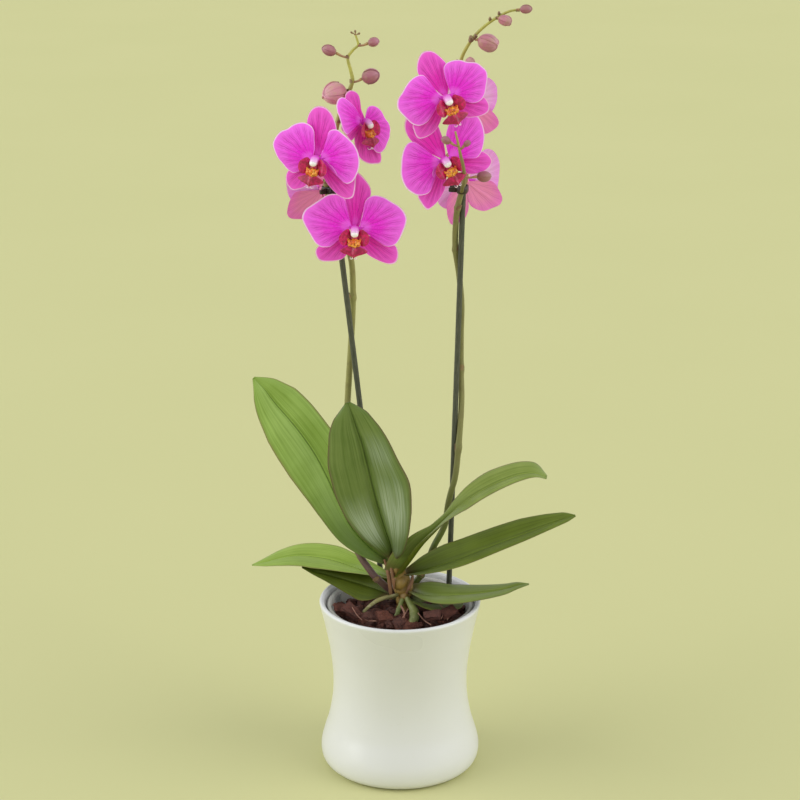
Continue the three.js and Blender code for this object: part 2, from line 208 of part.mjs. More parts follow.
// round, tapering stem along a smooth curve
function tube(path, radii, sides, steps, fat = 0) {
  const curve = new THREE.CatmullRomCurve3(path.map(V));
  const points = [], faces = [];
  let normal = null;
  for (let i = 0; i <= steps; i++) {
    const t = i / steps, c = curve.getPoint(t), along = curve.getTangent(t);
    if (!normal) normal = Math.abs(along.x) < 0.8 ? new THREE.Vector3(1, 0, 0) : new THREE.Vector3(0, 1, 0);
    normal.addScaledVector(along, -normal.dot(along)).normalize();
    const side = new THREE.Vector3().crossVectors(along, normal);
    const r = sample(radii, t) + fat;
    if (fat && i === 0) c.addScaledVector(along, -fat);
    if (fat && i === steps) c.addScaledVector(along, fat);
    for (let k = 0; k < sides; k++) {
      const a = (2 * Math.PI * k) / sides;
      points.push(c.clone().addScaledVector(normal, r * Math.cos(a)).addScaledVector(side, r * Math.sin(a)));
    }
  }
  for (let i = 0; i < steps; i++) for (let k = 0; k < sides; k++) {
    const a = i * sides + k, b = i * sides + ((k + 1) % sides);
    faces.push([a, b, b + sides], [a, b + sides, a + sides]);
  }
  for (let k = 1; k < sides - 1; k++) {
    faces.push([0, k + 1, k], [steps * sides, steps * sides + k, steps * sides + k + 1]);
  }
  return geometryFrom(points, faces);
}

// leaf: a folded, thick blade along its midrib
function leaf(d, steps, across, fat = 0) {
  const curve = new THREE.CatmullRomCurve3(d.mid.map(V));
  const top = [], bottom = [];
  let flip = 0;
  const mid = curve.getTangent(0.5), lm = V(sample(d.lateral, 0.5));
  if (new THREE.Vector3().crossVectors(mid, lm).dot(new THREE.Vector3(0, -0.6, 0.8)) < 0) flip = 1;
  for (let i = 0; i <= steps; i++) {
    const t = i / steps, c = curve.getPoint(t), along = curve.getTangent(t);
    const lat = V(sample(d.lateral, t));
    lat.addScaledVector(along, -lat.dot(along)).normalize();
    const up = new THREE.Vector3().crossVectors(along, lat).multiplyScalar(flip ? -1 : 1).normalize();
    const fold = THREE.MathUtils.degToRad(sample(d.fold, t));
    const half = (d.thick * (1 - 0.45 * t)) / 2 + fat;
    if (fat && i === 0) c.addScaledVector(along, -fat);
    if (fat && i === steps) c.addScaledVector(along, fat);
    const a = [], b = [];
    for (let j = 0; j <= across; j++) {
      const s = (2 * j) / across - 1, w = (s < 0 ? sample(d.near, t) : sample(d.far, t)) + fat;
      const x = Math.abs(s) * w;
      const rise = x * Math.sin(fold) + d.bulge * w * 4 * Math.abs(s) * (1 - Math.abs(s));
      const p = c.clone().addScaledVector(lat, Math.sign(s) * x * Math.cos(fold)).addScaledVector(up, rise);
      a.push(p.clone().addScaledVector(up, half));
      b.push(p.clone().addScaledVector(up, -half));
    }
    top.push(a);
    bottom.push(b);
  }
  return closedSheet(top, bottom);
}

// petal or sepal: a fan from its claw to its outline, with a height over the flower's plane
function fan(outline, claw, rows, columns, height, mirror = 1, fat = 0, thick = BLADE) {
  const curve = new THREE.CatmullRomCurve3(outline.map(([x, y]) => new THREE.Vector3(x, y, 0)));
  const top = [], bottom = [];
  for (let i = 0; i <= rows; i++) {
    const s = 0.2 + (0.8 + fat * 0.02) * (i / rows), a = [], b = [];
    for (let j = 0; j <= columns; j++) {
      const p = curve.getPoint(j / columns);
      const x = claw[0] + (p.x - claw[0]) * s, y = claw[1] + (p.y - claw[1]) * s;
      const z = height(x, y);
      a.push(new THREE.Vector3(mirror * x, y, z + thick / 2 + fat));
      b.push(new THREE.Vector3(mirror * x, y, z - thick / 2 - fat));
    }
    top.push(a);
    bottom.push(b);
  }
  return closedSheet(top, bottom);
}

// several petals or sepals grown round one hub, as a single thin star-shaped body
function whorl(outlines, counts, rows, height, hubBack, fat = 0) {
  const loop = [];
  outlines.forEach((outline, k) => {
    const curve = new THREE.CatmullRomCurve3(outline.map(([x, y]) => new THREE.Vector3(x, y, 0)));
    for (let j = 0; j <= counts[k]; j++) loop.push(curve.getPoint(j / counts[k]));
  });
  const n = loop.length, points = [], faces = [];
  for (const side of [1, -1]) {
    points.push(new THREE.Vector3(0, 0, height(0, 0) + side * (BLADE / 2 + fat) + (side < 0 ? -hubBack : 0)));
    for (const s of rows) for (const p of loop) {
      const x = p.x * s * (1 + fat * 0.02), y = p.y * s * (1 + fat * 0.02);
      points.push(new THREE.Vector3(x, y, height(x, y) + side * (BLADE / 2 + fat)));
    }
  }
  const half = 1 + rows.length * n;
  const add = (a, b, c, flip) => faces.push(flip ? [a, c, b] : [a, b, c]);
  for (const side of [0, 1]) for (let k = 0; k < n; k++) {
    const o = side * half, q = (k + 1) % n;
    add(o, o + 1 + k, o + 1 + q, side);
    for (let i = 0; i < rows.length - 1; i++) {
      const a = o + 1 + i * n, b = a + n;
      add(a + k, b + k, b + q, side);
      add(a + k, b + q, a + q, side);
    }
  }
  const rim = 1 + (rows.length - 1) * n;
  for (let k = 0; k < n; k++) {
    const q = (k + 1) % n;
    faces.push([rim + q, rim + k, half + rim + k], [rim + q, half + rim + k, half + rim + q]);
  }
  return geometryFrom(points, faces);
}

function ball(centre, radii, wide = 8, high = 6, fat = 0) {
  const g = new THREE.SphereGeometry(1, wide, high);
  g.scale(radii[0] + fat, radii[1] + fat, radii[2] + fat);
  g.translate(centre[0], centre[1], centre[2]);
  return g;
}

function solid(geometry) {
  const g = geometry.clone();
  g.deleteAttribute('normal');
  g.deleteAttribute('uv');
  const m = mergeVertices(g, 1e-4);
  return new wasm.Manifold(new wasm.Mesh({
    numProp: 3,
    vertProperties: Float32Array.from(m.attributes.position.array),
    triVerts: Uint32Array.from(m.index.array),
  }));
}

function geometryOf(manifold) {
  const mesh = manifold.getMesh();
  const g = new THREE.BufferGeometry();
  g.setAttribute('position', new THREE.BufferAttribute(Float32Array.from(mesh.vertProperties), 3));
  g.setIndex(new THREE.BufferAttribute(Uint32Array.from(mesh.triVerts), 1));
  return g;
}

const joined = (list) => list.map(solid).reduce((a, b) => a.add(b));

// ---- the flower, in its own frame ----
const petalHeight = (x, y) => { const r = Math.hypot(x, y); return 0.95 + 0.11 * r - 0.0022 * r * r; };
const sepalHeight = (x, y) => { const r = Math.hypot(x, y); return -1.25 - 0.0012 * r * r; };

function flowerOrgans(d, fat) {
  const sepals = solid(whorl(d.sepals, [8, 8, 8], [0.22, 0.62, 1], sepalHeight, 1.5, fat));
  const petals = solid(whorl(d.petals, [11, 11], [0.2, 0.6, 1], petalHeight, 0, fat));
  const lip = joined([
    tube([[0, -0.6, 2.8], [0, -1.2, 5.8], [0, -3.4, 9.6]], [2.8, 3.3, 3.0], 6, 2, fat),
    tube([[0, -1.6, 5.2], [0, -7, 5.4], [0, -12.4, 6.4]], [2.4, 3.2, 2.4], 4, 1, fat),
    ball([0, -11.4, 7], [5.2, 3.6, 3.4], 6, 4, fat),
    fan(MIDLOBE_OUTLINE, [0, -11.5], 1, 6, (x, y) => 6.8 + 0.16 * (y + 12), 1, fat, 1.4),
    fan(SIDELOBE_OUTLINE, [1.8, -7], 1, 5, (x, y) => 4.2 + 0.5 * x, 1, fat, 1.3),
    fan(SIDELOBE_OUTLINE, [1.8, -7], 1, 5, (x, y) => 4.2 + 0.5 * x, -1, fat, 1.3),
  ]);
  return { sepals, petals, lip };
}

function flowerMatrix(d) {
  const yaw = THREE.MathUtils.degToRad(d.yaw), pitch = THREE.MathUtils.degToRad(d.pitch), roll = THREE.MathUtils.degToRad(d.roll);
  const face = new THREE.Vector3(Math.sin(yaw) * Math.cos(pitch), -Math.cos(yaw) * Math.cos(pitch), Math.sin(pitch));
  const right0 = new THREE.Vector3(Math.cos(yaw), Math.sin(yaw), 0);
  const up0 = new THREE.Vector3().crossVectors(face, right0);
  const up = up0.clone().multiplyScalar(Math.cos(roll)).addScaledVector(right0, Math.sin(roll));
  const right = right0.clone().multiplyScalar(Math.cos(roll)).addScaledVector(up0, -Math.sin(roll));
  const m = new THREE.Matrix4().makeBasis(right.multiplyScalar(d.scale), up.multiplyScalar(d.scale), face.clone().multiplyScalar(d.scale));
  m.setPosition(V(d.hub));
  return { m, face };
}

// stalk from the spike to just behind a flower's hub
function flowerStalk(d, fat) {
  const { face } = flowerMatrix(d);
  const end = V(d.hub).addScaledVector(face, -(3.3 * d.scale + GAP));
  const start = V(d.start), span = start.distanceTo(end);
  const reach = end.clone().addScaledVector(face, -0.42 * span);
  const lift = start.clone().lerp(end, 0.35).add(new THREE.Vector3(0, 0, 0.14 * span));
  const bend = lift.lerp(reach, 0.5);
  return tube([start, bend, end].map((p) => p.toArray()), [1.5, 1.3, 1.7], 4, 3, fat);
}

function budStalk(b, fat) {
  const from = V(b.from), c = V(b.centre), axis = c.clone().sub(from).normalize();
  const end = c.clone().addScaledVector(axis, -(b.half + GAP + 0.1));
  const mid = from.clone().lerp(end, 0.5);
  return tube([from, mid, end].map((p) => p.toArray()), [1.0, 0.9, 1.1], 4, 1, fat);
}

function bud(b, fat) {
  const axis = V(b.centre).sub(V(b.from)).normalize();
  const g = new THREE.SphereGeometry(1, 8, 6);
  g.scale(b.radius + fat, b.half + fat, b.radius * 0.92 + fat);
  g.applyQuaternion(new THREE.Quaternion().setFromUnitVectors(new THREE.Vector3(0, 1, 0), axis));
  g.translate(...b.centre);
  return solid(g);
}

function spike(d, flowers, buds, branch, fat) {
  const list = [tube(d.path, d.radii, 5, 36, fat)];
  if (branch) list.push(tube(branch.path, branch.radii, 4, 6, fat));
  flowers.forEach((f) => list.push(flowerStalk(FLOWERS[f], fat)));
  buds.forEach((b) => list.push(budStalk(b, fat)));
  return joined(list);
}

function stake(d, fat) {
  const a = V(d.bottom), b = V(d.top), axis = b.clone().sub(a), long = axis.length();
  const g = new THREE.CylinderGeometry(STAKE_RADIUS + fat, STAKE_RADIUS + fat, long + 2 * fat, 10);
  g.applyQuaternion(new THREE.Quaternion().setFromUnitVectors(new THREE.Vector3(0, 1, 0), axis.normalize()));
  g.translate(...a.lerp(b, 0.5).toArray());
  return solid(g);
}

// spring clip: a loop around stake and spike with two finger tabs
function clip(centre, angle, spread, tabs, fat) {
  const inner = 3.1, outer = 4.6 + fat, high = 6 + 2 * fat;
  const loop = (r) => {
    const p = [];
    for (let k = 0; k <= 6; k++) { const a = -Math.PI / 2 + (Math.PI * k) / 6; p.push(new THREE.Vector2(spread + r * Math.cos(a), r * Math.sin(a))); }
    for (let k = 0; k <= 6; k++) { const a = Math.PI / 2 + (Math.PI * k) / 6; p.push(new THREE.Vector2(-spread + r * Math.cos(a), r * Math.sin(a))); }
    return p;
  };
  const shape = new THREE.Shape(loop(outer));
  if (!fat) shape.holes.push(new THREE.Path(loop(inner)));
  const ring = new THREE.ExtrudeGeometry(shape, { depth: high, bevelEnabled: false });
  ring.translate(0, 0, -high / 2);
  ring.rotateZ(angle);
  const parts = [ring];
  for (const turn of [-1, 1]) {
    const tab = new THREE.BoxGeometry(8 + fat, 1.5 + 2 * fat, high - 1.6);
    tab.translate(7.8, turn * 0.6, 0);
    tab.rotateZ(tabs + turn * 0.26);
    parts.push(tab);
  }
  for (const g of parts) g.translate(...centre);
  return joined(parts);
}

// ---- pot, grower's pot and bark ----
function lathe(profile, sides) {
  return new THREE.LatheGeometry(profile.map(([r, z]) => new THREE.Vector2(r, z)), sides).rotateX(Math.PI / 2);
}

function coverPot() {
  return solid(lathe(POT_PROFILE, POT_SIDES));
}

const growRadius = (z) => GROW_BOTTOM_RADIUS + (z - GROW_BOTTOM_Z) * GROW_SLOPE;

function growPot() {
  const rt = growRadius(GROW_TOP_Z), rb = GROW_BOTTOM_RADIUS;
  let body = solid(lathe([
    [9, GROW_BOTTOM_Z], [rb - 3, GROW_BOTTOM_Z], [rb, GROW_BOTTOM_Z + 3], [rt, GROW_TOP_Z - 1.6], [GROW_FLANGE, GROW_TOP_Z - 1.6], [GROW_FLANGE, GROW_TOP_Z],
    [rt - GROW_WALL, GROW_TOP_Z], [rb - GROW_WALL, GROW_BOTTOM_Z + 3.4], [rb - 4, GROW_BOTTOM_Z + GROW_WALL], [9, GROW_BOTTOM_Z + GROW_WALL], [9, GROW_BOTTOM_Z],
  ], GROW_SIDES));
  for (let k = 0; k < 8; k++) {
    const slot = new THREE.BoxGeometry(2.4, 8, 7);
    slot.translate(0, growRadius(140), 142);
    slot.rotateZ((2 * Math.PI * (k + 0.5)) / 8);
    body = body.subtract(solid(slot));
  }
  return body;
}

function barkHeight(x, y) {
  const r = Math.hypot(x, y);
  const mound = BARK_EDGE_Z + (BARK_CROWN_Z - BARK_EDGE_Z) * Math.exp(-((r / 34) ** 2));
  return mound + 1.7 * Math.sin(x * 0.31 + 1.3) * Math.cos(y * 0.27 - 0.6) + 1.1 * Math.sin(x * 0.11 - y * 0.47);
}

function barkMix() {
  const rings = [9, 20, 31, 42, 51], sides = 20;
  const edge = growRadius(BARK_EDGE_Z - 8) - GROW_WALL - GAP - 0.4;
  const low = GROW_BOTTOM_Z + GROW_WALL + 4;
  const foot = growRadius(low) - GROW_WALL - GAP - 0.5;
  const points = [new THREE.Vector3(0, 0, barkHeight(0, 0))], faces = [];
  const ring = (r, z) => { for (let k = 0; k < sides; k++) { const a = (2 * Math.PI * (k + 0.5)) / sides, x = r * Math.cos(a), y = r * Math.sin(a); points.push(new THREE.Vector3(x, y, z === undefined ? barkHeight(x, y) : z)); } };
  rings.forEach((r) => ring(r));
  ring(edge, BARK_EDGE_Z - 3);
  ring(foot, low);
  points.push(new THREE.Vector3(0, 0, low));
  const count = rings.length + 2;
  for (let k = 0; k < sides; k++) faces.push([0, 1 + k, 1 + ((k + 1) % sides)]);
  for (let i = 0; i < count - 1; i++) for (let k = 0; k < sides; k++) {
    const a = 1 + i * sides + k, b = 1 + i * sides + ((k + 1) % sides);
    faces.push([a, a + sides, b + sides], [a, b + sides, b]);
  }
  const last = 1 + (count - 1) * sides, tip = points.length - 1;
  for (let k = 0; k < sides; k++) faces.push([last + k, tip, last + ((k + 1) % sides)]);
  return solid(geometryFrom(points, faces));
}

// ---- assembly ----
const GLAZE = [0xd9dac8, 0.25], CLEAR = [0xb9bdb4, 0.35], BARK = [0x4a2722, 0.85], GREEN = [0x5f8a34, 0.4], DARKGREEN = [0x4a6b35, 0.4];
const SPIKE_GREEN = [0x6f7439, 0.5], STAKE_GREEN = [0x5f695f, 0.5], CLIP_BLACK = [0x241c1c, 0.45], PINK = [0xe04fc6, 0.6], DUSK = [0xc8459f, 0.6], CRIMSON = [0xb01445, 0.5];
const BUD = [0xb5798a, 0.6], ROOT = [0x7c8250, 0.6], STEM = [0x7d6b45, 0.6];

const pieces = [];
const piece = (name, [colour, roughness], make) => pieces.push({ name, colour, roughness, make });

piece('cover_pot', GLAZE, () => coverPot());
piece('grow_pot', CLEAR, () => growPot());
piece('stem', STEM, (f) => solid(tube(STEM_POINTS.map((p) => p.slice(0, 3)), STEM_POINTS.map((p) => p[3]), 8, 7, f)));
piece('stake_left', STAKE_GREEN, (f) => stake(STAKE_LEFT, f));
piece('stake_right', STAKE_GREEN, (f) => stake(STAKE_RIGHT, f));
piece('flower_spike_left', SPIKE_GREEN, (f) => spike(SPIKE_LEFT, ['a1', 'a2', 'a3', 'a4'], BUDS_LEFT, null, f));
piece('flower_spike_right', SPIKE_GREEN, (f) => spike(SPIKE_RIGHT, ['b1', 'b2', 'b3', 'b4'], [...BUDS_RIGHT, ...BUDS_BRANCH], BRANCH, f));
piece('clip_left', CLIP_BLACK, (f) => clip(CLIPS.left, CLIP_LEFT_ANGLE, CLIP_LEFT_SPREAD, -1.9, f));
piece('clip_right', CLIP_BLACK, (f) => clip(CLIPS.right, CLIP_RIGHT_ANGLE, CLIP_RIGHT_SPREAD, 3.0, f));
for (const name of ['leaf_2_centre', 'leaf_1_left_upper', 'leaf_3_right_upper', 'leaf_4_right_middle', 'leaf_5_right_lower', 'leaf_7_left_lower', 'leaf_6_left_back', 'leaf_8_right_inner']) {
  piece(name, name === 'leaf_2_centre' ? DARKGREEN : GREEN, (f) => solid(leaf(LEAVES[name], 9, 4, f)));
}
for (const name of Object.keys(ROOTS)) piece(name, ROOT, (f) => solid(tube(ROOTS[name].path, ROOTS[name].radii, 6, 6, f)));
BUDS_LEFT.forEach((b, i) => piece(`bud_left_${i + 1}`, BUD, (f) => bud(b, f)));
BUDS_RIGHT.forEach((b, i) => piece(`bud_right_${i + 1}`, BUD, (f) => bud(b, f)));
BUDS_BRANCH.forEach((b, i) => piece(`bud_branch_${i + 1}`, BUD, (f) => bud(b, f)));
for (const name of ['b1', 'a2', 'a1', 'b2', 'a3', 'a4', 'b3', 'b4']) {
  const label = (name[0] === 'a' ? 'flower_left_' : 'flower_right_') + name[1];
  const { m } = flowerMatrix(FLOWERS[name]);
  const part = (key) => (f) => flowerOrgans(FLOWERS[name], f)[key].transform(m.elements);
  piece(`${label}_lip`, CRIMSON, part('lip'));
  piece(`${label}_petals`, PINK, part('petals'));
  piece(`${label}_sepals`, DUSK, part('sepals'));
}
piece('bark_mix', BARK, () => barkMix());

// pieces that touch are let into each other: the later one is cut back by GAP
const done = [];
const group = new THREE.Group();
group.name = 'potted_orchid';
const largest = (body) => {
  const parts = body.decompose();
  return parts.length > 1 ? parts.reduce((a, b) => (a.volume() > b.volume() ? a : b)) : body;
};
const boxesMeet = (a, b) => [0, 1, 2].every((k) => a.min[k] - 0.5 < b.max[k] && b.min[k] - 0.5 < a.max[k]);
for (const p of pieces) {
  let body = p.make(0);
  for (const q of done) {
    if (!boxesMeet(body.boundingBox(), q.box)) continue;
    if (body.intersect(q.body).volume() < 0.002) continue;
    body = body.subtract(q.make(GAP));
  }
  body = largest(body);
  body = largest(body.simplify(SMOOTHING[p.name.split('_').pop()] ?? 0.08));
  done.push({ name: p.name, body, make: p.make, box: body.boundingBox() });
  const mesh = new THREE.Mesh(geometryOf(body), new THREE.MeshStandardMaterial({ color: p.colour, roughness: p.roughness, metalness: 0 }));
  mesh.name = p.name;
  group.add(mesh);
}

export default group;
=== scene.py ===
# Potted moth orchid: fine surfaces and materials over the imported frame. Numbers below are millimetres in the row frame.
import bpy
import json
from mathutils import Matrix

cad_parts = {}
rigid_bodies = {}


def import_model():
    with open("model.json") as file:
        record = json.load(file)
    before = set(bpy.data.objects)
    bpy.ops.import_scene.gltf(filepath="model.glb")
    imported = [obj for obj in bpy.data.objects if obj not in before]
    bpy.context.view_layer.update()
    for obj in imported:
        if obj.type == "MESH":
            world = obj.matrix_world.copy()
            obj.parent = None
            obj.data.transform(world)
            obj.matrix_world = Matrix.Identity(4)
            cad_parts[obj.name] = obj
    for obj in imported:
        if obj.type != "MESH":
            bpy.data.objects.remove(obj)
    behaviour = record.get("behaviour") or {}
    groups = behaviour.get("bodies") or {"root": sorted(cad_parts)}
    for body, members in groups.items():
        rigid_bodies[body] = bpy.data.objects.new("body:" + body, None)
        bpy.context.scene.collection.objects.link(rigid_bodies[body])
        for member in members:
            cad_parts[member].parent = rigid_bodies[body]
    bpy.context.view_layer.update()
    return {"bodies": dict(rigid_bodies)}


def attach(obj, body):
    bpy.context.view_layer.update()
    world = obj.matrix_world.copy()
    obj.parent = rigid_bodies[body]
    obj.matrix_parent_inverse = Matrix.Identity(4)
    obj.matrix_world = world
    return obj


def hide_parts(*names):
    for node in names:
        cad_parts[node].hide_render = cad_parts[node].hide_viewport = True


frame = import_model()
import bpy, math, random, json
import numpy as np
from mathutils import Vector

MM = 0.001
BODY = "root" if "root" in frame["bodies"] else list(frame["bodies"])[0]

STEM_POINTS = [[4.37, 4, 138.13, 7.5], [4.36, 4, 146.64, 7.6], [3.48, 4, 155.14, 7.2], [1.74, 4, 164.54, 7.8], [-0.87, 3, 175.27, 7], [-3.46, 2, 185.02, 6], [-5.18, 1, 192.87, 4.2]]
LEAVES = {
    "leaf_1_left_upper": {"mid": [[-10.2, 6, 185.26], [-24.77, 8, 195.64], [-41.04, 10, 213.43], [-52.94, 12, 236.69], [-62.48, 14, 258.89], [-72.71, 15, 279.5], [-82.88, 16, 295.48], [-93.44, 16, 309.91], [-105.91, 16, 325.18], [-115.4, 15, 338.9], [-124.26, 14, 349.07]],
        "near": [6.5, 12.5, 18.5, 23.2, 28, 30.4, 29.8, 27.1, 20, 12.4, 1.1], "far": [7, 13, 17.9, 21.8, 23.7, 24.2, 23.3, 23.1, 21.5, 13.1, 1.5],
        "lateral": [[0.8, 0.4, 0.5], [0.76, 0.36, 0.54], [0.74, 0.34, 0.56], [0.74, 0.32, 0.58], [0.72, 0.32, 0.6]], "fold": [42, 22, 12, 9, 6], "bulge": 0.06, "thick": 1.6},
    "leaf_2_centre": {"mid": [[-6.17, -3, 193.56], [-8.17, -8, 205.73], [-12.34, -14, 221.87], [-18.27, -21, 244.57], [-23.56, -28, 268.76], [-27.79, -33, 290.14], [-31.52, -37, 307.42], [-36.23, -40, 323.33], [-39.65, -42, 335.31], [-42.98, -43, 345.87]],
        "near": [5.7, 15.5, 23.9, 32, 35.5, 29.9, 25.3, 20.3, 14.1, 2], "far": [4.4, 12.7, 21.5, 29.3, 32.5, 32.6, 29.7, 23.9, 16.1, 2.1],
        "lateral": [[-0.97, 0.1, 0.25], [-0.97, 0.05, 0.22], [-0.97, 0.05, 0.2]], "fold": [40, 20, 14, 12, 10], "bulge": 0.1, "thick": 1.6},
    "leaf_3_right_upper": {"mid": [[-1.73, -2, 174.79], [6.89, -8, 189.44], [18.85, -11, 208.01], [30.75, -12, 221.77], [40.12, -10, 231.86], [52.1, -6, 242.31], [66.65, -2, 251.21], [84.66, 2, 259.29], [102.62, 4, 265.44], [114.57, 4, 266.54], [125.27, 3, 262.55]],
        "near": [6.2, 11, 13.9, 13.9, 15, 18.8, 16.3, 13.5, 11.6, 8.6, 2.1], "far": [13.5, 16.3, 11.7, 5.7, 4.5, 8.2, 13.1, 16.3, 15.9, 15.1, 4.7],
        "lateral": [[-0.35, 0.8, 0.45], [-0.3, 0.86, 0.4], [-0.22, 0.93, 0.3], [-0.15, 0.95, 0.25], [-0.05, 0.98, 0.2]], "fold": [62, 50, 20, 10, 6], "bulge": 0.05, "thick": 1.6},
    "leaf_4_right_middle": {"mid": [[6.06, 0, 174.96], [21.57, -6, 181.01], [42.98, -10, 190.45], [64.3, -12, 200.14], [85.61, -12, 209.05], [106.93, -11, 217.15], [128.27, -9, 225.33], [141.99, -7, 229.76], [150.09, -6, 231.79]],
        "near": [6.6, 13.6, 17.2, 16.9, 15.8, 14.2, 11.2, 7.8, 1.7], "far": [5.2, 13.3, 18.8, 19.6, 19.1, 17.9, 12.8, 8.1, 1.6],
        "lateral": [[-0.2, 0.9, 0.35], [-0.12, 0.95, 0.27], [-0.1, 0.97, 0.23], [-0.1, 0.97, 0.2]], "fold": [48, 16, 12, 9], "bulge": 0.05, "thick": 1.6},
    "leaf_5_right_lower": {"mid": [[9.54, -2, 159.18], [21.62, -8, 159.13], [34.52, -12, 160.33], [49.99, -14, 161.61], [65.49, -14, 162.93], [79.3, -13, 164.54], [91.44, -11, 166.27], [101.85, -9, 168.58], [111.29, -7, 169.05]],
        "near": [8.3, 16.1, 20.2, 18.8, 15.5, 12.7, 9.8, 6.1, 1.4], "far": [7.9, 13.7, 16.2, 16.8, 15.1, 12.3, 9.4, 6.2, 1.4],
        "lateral": [[-0.1, 0.95, 0.2], [-0.03, 0.99, 0.1], [0, 1, 0.08], [0, 1, 0.08]], "fold": [40, 6, 4, 3], "bulge": 0.04, "thick": 1.6},
    "leaf_6_left_back": {"mid": [[-7, 15, 164.49], [-24.6, 25, 166.2], [-42.34, 34, 168.75], [-60.13, 40, 172.37], [-75.26, 43, 174.15], [-90.33, 44, 175.01], [-105.43, 44, 172.73], [-118.72, 43, 169.32], [-130.94, 42, 166.65]],
        "near": [5.1, 12, 17.2, 20.9, 22.6, 21.1, 16.5, 8.9, 1.2], "far": [4, 8.8, 12.7, 16.7, 16.5, 14.2, 11.6, 7.2, 1.2],
        "lateral": [[0.1, 0.9, 0.3], [0.05, 0.93, 0.28], [0, 0.97, 0.22], [0, 0.98, 0.12]], "fold": [40, 14, 8, 3], "bulge": 0.04, "thick": 1.6},
    "leaf_7_left_lower": {"mid": [[-8.73, 8, 153.24], [-19.25, 14, 155.1], [-29.83, 19, 156.58], [-42.15, 22, 159.43], [-54.48, 24, 162.51], [-65.89, 25, 165.62], [-75.53, 25, 167.99], [-86, 24, 171.99]],
        "near": [8.8, 18.2, 18, 14.9, 11.1, 8, 4.9, 0.9], "far": [6.6, 13.3, 14.9, 13.5, 10.6, 7.7, 5, 0.9],
        "lateral": [[0.1, 0.85, 0.45], [0.02, 0.86, 0.5], [0, 0.88, 0.46], [0, 0.94, 0.34]], "fold": [30, 4, 0, 0], "bulge": 0.03, "thick": 1.6},
    "leaf_8_right_inner": {"mid": [[8.69, -1, 152.56], [17.34, -6, 151.88], [27.7, -9, 151.29], [38.09, -9, 150.82], [47.69, -6, 150.47], [54.74, -2, 150.16]],
        "near": [5, 11, 15, 15, 10, 1.5], "far": [5, 10, 13, 13, 9, 1.5],
        "lateral": [[0, 0.95, 0.2], [0, 0.98, 0.15], [0, 1, 0.1]], "fold": [34, 8, 4], "bulge": 0.03, "thick": 1.6},
}
ROOTS = {
    "root_1_left": {"path": [[-2.6, -3, 157.17], [-8.65, -8, 157.89], [-16.4, -13, 157.68], [-24.12, -17, 154.73], [-30.98, -21, 149.45]], "radii": [2.35, 2.44, 2.35, 2.18, 1.93]},
    "root_2_front": {"path": [[1.73, -6, 153.75], [0, -10, 149.84], [-2.59, -13, 143.63], [-4.76, -14, 137.49]], "radii": [2.6, 2.7, 2.6, 2.4]},
    "root_3_front_right": {"path": [[6.07, -6, 154.69], [9.51, -12, 151.64], [12.5, -18, 146.75], [11.19, -24, 140.95], [9.03, -27, 134.79]], "radii": [2.4, 3, 4, 4.2, 3.6]},
    "root_4_right": {"path": [[9.61, 10, 151.64], [15.78, 15, 148.57], [23.76, 21, 143.16], [30.91, 26, 136.24], [35.43, 29, 128.23]], "radii": [2.2, 2.3, 2.3, 2.2, 2]},
    "root_5_back": {"path": [[-2.63, 14, 148.05], [-10.58, 24, 139.97], [-19.51, 32, 130.78]], "radii": [2.3, 2.3, 2.1]},
}
STAKE_LEFT = {"bottom": [-6.09, 43.62, 62], "top": [-55.29, 4, 518.52]}
STAKE_RIGHT = {"bottom": [40.25, 22.98, 52], "top": [52.2, 10, 517.23]}
SPIKE_LEFT = {"path": [[-7.86, 9, 156.79], [-11.76, 7, 160.46], [-16.53, 5.5, 165.79], [-22.16, 5, 171.63], [-27.78, 6, 179.18], [-34.73, 9, 188.71], [-40.86, 16, 202.72], [-44.73, 22, 226.44], [-46.3, 26, 261.9], [-46.04, 27, 298.09], [-44.98, 26.5, 323.58], [-43.03, 25, 352.71], [-41.57, 24, 375.2], [-40.28, 22.5, 397.64], [-39.7, 20.5, 415.67], [-40.47, 16.5, 449.58], [-45.68, 14.5, 470.61], [-52.92, 12.5, 490.6], [-58.45, 9, 504.87], [-60.21, 6, 516.42], [-58.74, 1, 532.45], [-56.09, -2, 543.8], [-50.12, -3, 571.86], [-45.98, -3, 584.88], [-40.26, -2, 597.67], [-38.3, -1, 604.77], [-39.72, 0, 612.66], [-41.76, 1, 622.47], [-37.72, 2, 628.41], [-33.69, 2, 632.42], [-34.46, 2, 637.22], [-35.48, 2, 639.93]],
    "radii": [3.1, 3.1, 3.1, 3.1, 3, 3, 2.9, 2.8, 2.7, 2.7, 2.7, 2.7, 2.6, 2.6, 2.6, 2.5, 2.5, 2.4, 2.4, 2.3, 2.2, 2.2, 2, 1.9, 1.7, 1.6, 1.4, 1.2, 1.1, 1, 0.9, 0.8]}
